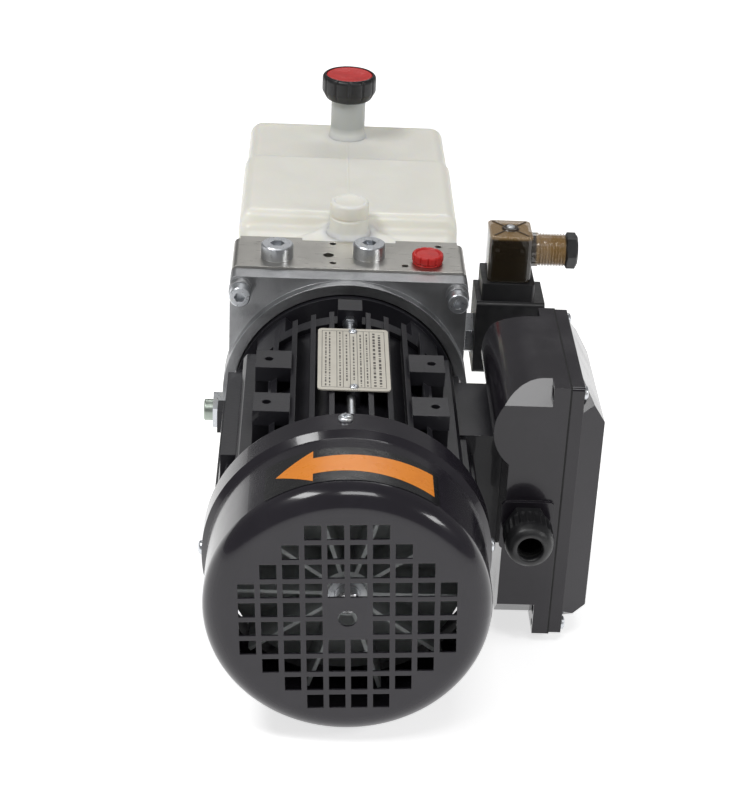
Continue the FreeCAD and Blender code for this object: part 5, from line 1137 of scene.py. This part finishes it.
class AddPlug(bpy.types.Operator):
    """Make the clear hood with its threaded neck, its insides, its screw and its hexagon nut"""
    bl_idname = "power_unit.add_plug"
    bl_label = "Valve plug"

    def execute(self, context):
        sizes = context.scene.power_unit_plug
        low, high = node_box("connector_hood")
        insert_low, insert_high = node_box("connector_insert")
        neck_end = high[0]
        shell_high_x = insert_high[0] + HOOD_SPARE
        centre = np.array([(low[0] + shell_high_x) / 2, (low[1] + high[1]) / 2])
        half = np.array([(shell_high_x - low[0]) / 2, (high[1] - low[1]) / 2])
        nut_low, nut_high = node_box("connector_gland_nut")
        neck_place = (shell_high_x, centre[1], (nut_low[2] + nut_high[2]) / 2)
        shell = self.shell(sizes, centre, half, low[2], high[2])
        neck = self.neck(sizes, neck_place, neck_end - shell_high_x)
        hood = mesh_piece("plug_hood", [shell, neck], finish("hood_plastic"), crease=40)
        finished(hood, "power_unit", "hood_plastic", "connector_hood")
        self.insides(insert_low, insert_high, centre)
        self.screw(centre, high[2])
        self.nut(nut_low, nut_high, neck_place)
        return {"FINISHED"}

    def shell(self, sizes, centre, half, low, high):
        """A hollow box: rounded rectangles carried down its inside, under its rim and back up."""
        wall = sizes.wall
        outline = [(0, high - wall), (1, high - wall), (1, low), (2, low), (2, high), (0, high)]
        steps = []
        for share, height in outline:
            inset = wall if share == 1 else 0.0
            reach = (0, 0) if share == 0 else (half[0] - inset, half[1] - inset)
            steps.append((*reach, height))
        rows = divided(eased(steps, 1.3 * MM, 4), 4 * MM)
        unit = rounded_rectangle(1.0, 1.0, 0.2, 8)
        shrink = np.clip(np.minimum(rows[:, :1], rows[:, 1:2]) / half.min(), 0, 1)
        corner = sizes.corner * shrink
        edge = np.clip(np.abs(unit) - 0.8, 0, None) / 0.2 * np.sign(unit)
        flat = np.clip(np.abs(unit), 0, 0.8) / 0.8 * np.sign(unit)
        x = centre[0] + flat[None, :, 0] * (rows[:, :1] - corner) + edge[None, :, 0] * corner
        y = centre[1] + flat[None, :, 1] * (rows[:, 1:2] - corner) + edge[None, :, 1] * corner
        z = np.broadcast_to(rows[:, 2:3], x.shape)
        return np.stack([x, y, z], axis=-1), True

    def neck(self, sizes, place, length):
        """A tube with a plain root and a sine-shaped thread towards its end."""
        outer = HOOD_NECK_RADIUS
        inner = outer - HOOD_NECK_WALL
        root = THREAD_START
        along = np.linspace(root, length - 1 * MM, sizes.threads * 10)
        phase = (along - root) / (length - root) * sizes.threads * TURN
        thread = outer - 1.0 * MM - THREAD_DEPTH * np.cos(phase)
        outline = [(inner, -1.5 * MM), (inner, length - 0.1 * MM), (outer - 1.6 * MM, length - 0.05 * MM)]
        outline += [(radius, height) for radius, height in zip(thread[::-1], along[::-1])]
        outline += [(outer - 0.2 * MM, root - 0.6 * MM), (outer - 0.2 * MM, 0.8 * MM), (outer, 0),
                    (outer, -1.5 * MM), (inner, -1.5 * MM)]
        return lathe(outline, place, (1, 0, 0), 64)

    def insides(self, low, high, centre):
        """The black terminal carrier with its steps, and two clamp screws."""
        middle_x, middle_y = centre
        wide, deep = (high[0] - low[0]) / 2, (high[1] - low[1]) / 2
        ledge, crown = high[2] - 6 * MM, high[2] - 2 * MM
        steps = ((1.0, 1.0, 1.0, low[2], ledge), (0.8, 0.94, 0.9, ledge, crown),
                 (0.55, 0.8, 0.7, crown, high[2] + 1.5 * MM))
        core = [slab((middle_x - wide * side, middle_x + wide * side),
                     (middle_y - deep * near, middle_y + deep * far), foot, head, 1.5 * MM)
                for side, near, far, foot, head in steps]
        carrier = mesh_piece("plug_carrier", core, finish("black_plastic"), crease=30)
        finished(carrier, "power_unit", "black_plastic", "connector_insert")
        sizes = bpy.context.scene.power_unit_screws
        clamps = [pan_head(sizes, (middle_x + side * wide * 0.66, middle_y - deep * 0.5, crown),
                           (0, 0, 1), 1.7 * MM, 1.2 * MM, side) for side in (-1, 1)]
        pair = mesh_piece("plug_clamp_screws", clamps, finish("zinc_steel"), crease=45)
        finished(pair, "power_unit", "zinc_steel")

    def screw(self, centre, top):
        """The centre screw in its dark ring, with four ribs that run from the ring to the corners."""
        low, high = node_box("connector_screw")
        place = (*centre, 0)
        radius = (high[0] - low[0]) / 2
        shank, head = radius * 0.45, radius * 0.62
        outline = [(0, low[2]), (shank, low[2]), (shank, top - 1 * MM), (head, top - 1 * MM),
                   (head, high[2] - 0.5 * MM), (radius * 0.5, high[2]), (0, high[2])]
        turned = mesh_piece("plug_screw", [lathe(eased(outline, 0.3 * MM, 3), place, steps=48)],
                            finish("zinc_steel"), crease=35)
        finished(turned, "power_unit", "zinc_steel", "connector_screw")
        inner, outer = radius * 0.64, radius * 1.25
        outline = [(inner, top - 1.2 * MM), (inner, top + 1.2 * MM), (radius, top + 1.1 * MM),
                   (outer, top + 0.1 * MM), (outer, top - 1.2 * MM), (inner, top - 1.2 * MM)]
        ring = lathe(eased(outline, 0.3 * MM, 3), place, steps=48)
        ribs = [self.rib(centre, radius, x, y, top) for x in (-1, 1) for y in (-1, 1)]
        mark = mesh_piece("plug_top_ribs", [ring, *ribs], finish("smoked_plastic"), crease=30)
        finished(mark, "power_unit", "hood_plastic")

    def rib(self, centre, radius, x, y, top):
        """A low straight rib from the screw's ring to one corner of the hood's top."""
        start = np.array([x * radius * 0.9, y * radius * 0.9])
        end = np.array([x * 10.6 * MM, y * 11.4 * MM])
        along = (end - start) / np.linalg.norm(end - start)
        across = np.array([-along[1], along[0]]) * 0.55 * MM
        corners = np.stack([start + across, start - across, end - across, end + across]) + centre
        low = np.concatenate([corners, np.full((4, 1), top - 0.6 * MM)], axis=1)
        high = low + (0, 0, 0.85 * MM)
        middle = [np.broadcast_to(ring.mean(axis=0), (1, 4, 3)) for ring in (low, high)]
        return np.concatenate([middle[0], low[None], high[None], middle[1]]), True

    def nut(self, low, high, place):
        """A hexagon nut with a chamfered face and a cable hole, on a tail inside the neck."""
        length = high[0] - place[0]
        start = node_box("connector_hood")[1][0] - place[0] + 0.1 * MM
        flats = high[1] - low[1]
        angle = np.arange(96) / 96 * TURN
        sector = (angle + math.pi / 6) % (math.pi / 3) - math.pi / 6
        hexagon = flats / 2 / np.cos(sector)
        tip = flats / 2 / math.cos(math.pi / 6)
        face = flats / 2 * FACE_SHARE
        tail = start - NUT_TAIL_LENGTH
        rows = [(NUT_BORE, tail, 0), (NUT_BORE, length - 1.2 * MM, 0), (5.4 * MM, length, 0),
                (face, length, 0), (tip, length - NUT_CHAMFER, 1), (tip, start + NUT_CHAMFER, 1),
                (face, start, 0), (NUT_TAIL_RADIUS, start, 0), (NUT_TAIL_RADIUS, tail, 0),
                (NUT_BORE, tail, 0)]
        rows = eased(rows, 0.35 * MM, 2)
        reach = np.where(rows[:, 2:3] > 0.001, np.minimum(rows[:, :1], hexagon[None]), rows[:, :1])
        turn = angle + math.pi / 2
        local = np.stack([reach * np.cos(turn), reach * np.sin(turn),
                          np.broadcast_to(rows[:, 1:2], reach.shape)], axis=-1)
        grid = local @ frame_along((1, 0, 0)).T + np.array(place)
        piece = mesh_piece("plug_nut", [(grid, True)], finish("black_plastic"), crease=30)
        finished(piece, "power_unit", "black_plastic", "connector_gland_nut")


# The cable gland's mouth and the seat behind it

MOUTH_RADIUS = 6.95 * MM
SEAT_RADIUS = 10.4 * MM


class AddGland(bpy.types.Operator):
    """Make the motor cable's gland nut with its grip ribs, domed face and mouth"""
    bl_idname = "power_unit.add_gland"
    bl_label = "Cable gland"

    def execute(self, context):
        sizes = context.scene.power_unit_plug
        low, high = node_box("cable_gland_nut")
        centre = ((low[0] + high[0]) / 2, high[1], (low[2] + high[2]) / 2)
        radius = (high[0] - low[0]) / 2
        length = high[1] - low[1]
        mouth = MOUTH_RADIUS
        seat = SEAT_RADIUS
        outline = [
            (seat, 0), (radius * 0.97, 0), (radius, 0.5 * MM), (radius, length * 0.56),
            (radius * 0.97, length * 0.6),
            (radius * 0.95, length * 0.72), (radius * 0.86, length * 0.89), (radius * 0.70, length * 0.985),
            (mouth + 1.2 * MM, length), (mouth, length * 0.95), (mouth, length * 0.82),
            (seat, length * 0.60), (seat, 0)]
        outline = divided(eased(outline, 0.9 * MM, 3), 1.3 * MM)

        def ribbed(angle, reach, height):
            flutes = np.abs(np.cos(angle * sizes.ribs / 2)) ** 1.5 * 0.85 * MM
            band = smooth_step((height - 0.8 * MM) / (0.8 * MM))
            band = band * smooth_step((length * 0.6 - height) / (1.0 * MM))
            outside = smooth_step((reach - radius * 0.9) / (0.5 * MM))
            return 1 - flutes * band * outside / np.maximum(reach, MM)

        nut = mesh_piece("gland_grip", [lathe(outline, centre, (0, -1, 0), sizes.ribs * 10, ribbed)],
                         finish("black_plastic"), crease=40)
        finished(nut, "gland_nut", "black_plastic", "cable_gland_nut")
        return {"FINISHED"}


# The stage

# Each light panel's name, place, power in watts, and width and height

PANELS = (
    ("key_panel", (-0.8, -0.4, 1.6), 11, (0.7, 0.35)),
    ("fill_panel", (1.4, -0.9, 1.0), 5, (0.5, 0.3)),
    ("rear_panel", (0.1, 1.2, 1.3), 5, (1.1, 0.3)),
    ("front_panel", (0.12, -0.75, 1.35), 4, (0.5, 0.3)))


class StageSizes(bpy.types.PropertyGroup):
    """Where the camera stands, and how strong the lights are"""
    camera_place: FloatVectorProperty(
        name="Camera place", description="Where the camera stands in the frame", size=3,
        default=(-0.02855, -1.17126, 0.67909), subtype="TRANSLATION", unit="LENGTH")
    yaw: angle_size("Yaw", "Turn of the view to the right", 0.0435)
    pitch: angle_size("Pitch", "How far the view looks down", 0.4851)
    roll: angle_size("Roll", "Turn of the view about itself", 0.0505)
    lens: FloatProperty(name="Lens", description="Focal length in millimetres", default=90.79, min=1)
    floor_half: length_size("Floor", "Half the floor's width", 9.0)
    sky: FloatProperty(name="Sky", description="Strength of the even light from all round",
                       default=0.2, min=0)


def light(name, place, aim, power, size):
    """A soft light panel at a place, turned towards a point."""
    lamp = bpy.data.lights.new(name, "AREA")
    lamp.energy = power
    lamp.shape = "RECTANGLE"
    lamp.size, lamp.size_y = size
    made = bpy.data.objects.new(name, lamp)
    made.location = place
    made.rotation_euler = (Vector(aim) - Vector(place)).to_track_quat("-Z", "Y").to_euler()
    bpy.context.scene.collection.objects.link(made)
    return made


class SetStage(bpy.types.Operator):
    """Set the floor, the soft lights and the camera"""
    bl_idname = "power_unit.set_stage"
    bl_label = "Set the stage"

    def execute(self, context):
        sizes = context.scene.power_unit_stage
        low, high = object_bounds()
        half = sizes.floor_half
        flat = np.array([[(-half, -half, low.z), (half, -half, low.z)],
                         [(-half, half, low.z), (half, half, low.z)]])
        ground = mesh_piece("studio_floor", [(flat, False)], floor_white(), outward=False)
        ground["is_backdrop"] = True
        self.sky(context, sizes.sky)
        context.scene.view_settings.view_transform = "Standard"
        centre = (low + high) / 2
        for name, place, power, size in PANELS:
            light(name, place, centre, power, size)
        self.camera(context, sizes)
        return {"FINISHED"}

    def sky(self, context, strength):
        """An even white surround."""
        world = bpy.data.worlds.new("studio")
        context.scene.world = world
        world.use_nodes = True
        shade = world.node_tree.nodes["Background"]
        shade.inputs["Color"].default_value = (1, 1, 1, 1)
        shade.inputs["Strength"].default_value = strength

    def camera(self, context, sizes):
        """A camera turned by yaw, pitch and roll at its place."""
        view = Vector((math.sin(sizes.yaw) * math.cos(sizes.pitch),
                       math.cos(sizes.yaw) * math.cos(sizes.pitch), -math.sin(sizes.pitch)))
        level = Vector((math.cos(sizes.yaw), -math.sin(sizes.yaw), 0))
        upright = level.cross(view)
        right = level * math.cos(sizes.roll) + upright * math.sin(sizes.roll)
        up = upright * math.cos(sizes.roll) - level * math.sin(sizes.roll)
        turned = Matrix((right, up, -view)).transposed().to_4x4()
        data = bpy.data.cameras.new("camera")
        data.lens = sizes.lens
        data.sensor_width = 36
        data.clip_start, data.clip_end = 0.01, 100
        camera = bpy.data.objects.new("camera", data)
        camera.matrix_world = Matrix.Translation(Vector(sizes.camera_place)) @ turned
        context.scene.collection.objects.link(camera)
        context.scene.camera = camera


def floor_white():
    """Pale matt studio floor."""
    made = Finish("floor_white", (0.86, 0.86, 0.86), 0.85, Specular_IOR_Level=0.2, Emission_Strength=0.68)
    made.shader.inputs["Emission Color"].default_value = (1, 1, 1, 1)
    made.tint(made.patches(2.5, 3, 0.4, 0.7, 0.5), (0.84, 0.84, 0.85))
    return made.material


# The add-on

SIZE_GROUPS = {
    "power_unit_tank": TankSizes, "power_unit_caps": CapSizes, "power_unit_screws": ScrewSizes,
    "power_unit_labels": LabelSizes, "power_unit_plug": PlugSizes, "power_unit_stage": StageSizes}
PIECE_OPERATORS = (DressFrame, AddTank, AddCaps, AddScrews, AddLabels, AddPlug, AddGland)


class PowerUnitPanel(bpy.types.Panel):
    """The power unit's pieces and their sizes"""
    bl_idname = "VIEW3D_PT_power_unit"
    bl_label = "Power unit"
    bl_space_type = "VIEW_3D"
    bl_region_type = "UI"
    bl_category = "Power unit"

    def draw(self, context):
        for group in SIZE_GROUPS:
            sizes = getattr(context.scene, group)
            column = self.layout.column(align=True)
            for name in sizes.bl_rna.properties.keys():
                if name not in ("rna_type", "name"):
                    column.prop(sizes, name)
        for operator in (*PIECE_OPERATORS, SetStage):
            self.layout.operator(operator.bl_idname)


CLASSES = (*SIZE_GROUPS.values(), *PIECE_OPERATORS, SetStage, PowerUnitPanel)


def register():
    """Add the classes and the scene's groups of sizes."""
    for made in CLASSES:
        bpy.utils.register_class(made)
    for name, group in SIZE_GROUPS.items():
        setattr(bpy.types.Scene, name, PointerProperty(type=group))


def unregister():
    """Take the scene's groups of sizes and the classes away."""
    for name in SIZE_GROUPS:
        delattr(bpy.types.Scene, name)
    for made in reversed(CLASSES):
        bpy.utils.unregister_class(made)


def main():
    """Make every piece and the stage."""
    register()
    for operator in (*PIECE_OPERATORS, SetStage):
        family, name = operator.bl_idname.split(".")
        getattr(getattr(bpy.ops, family), name)()


if __name__ == "__main__":
    main()
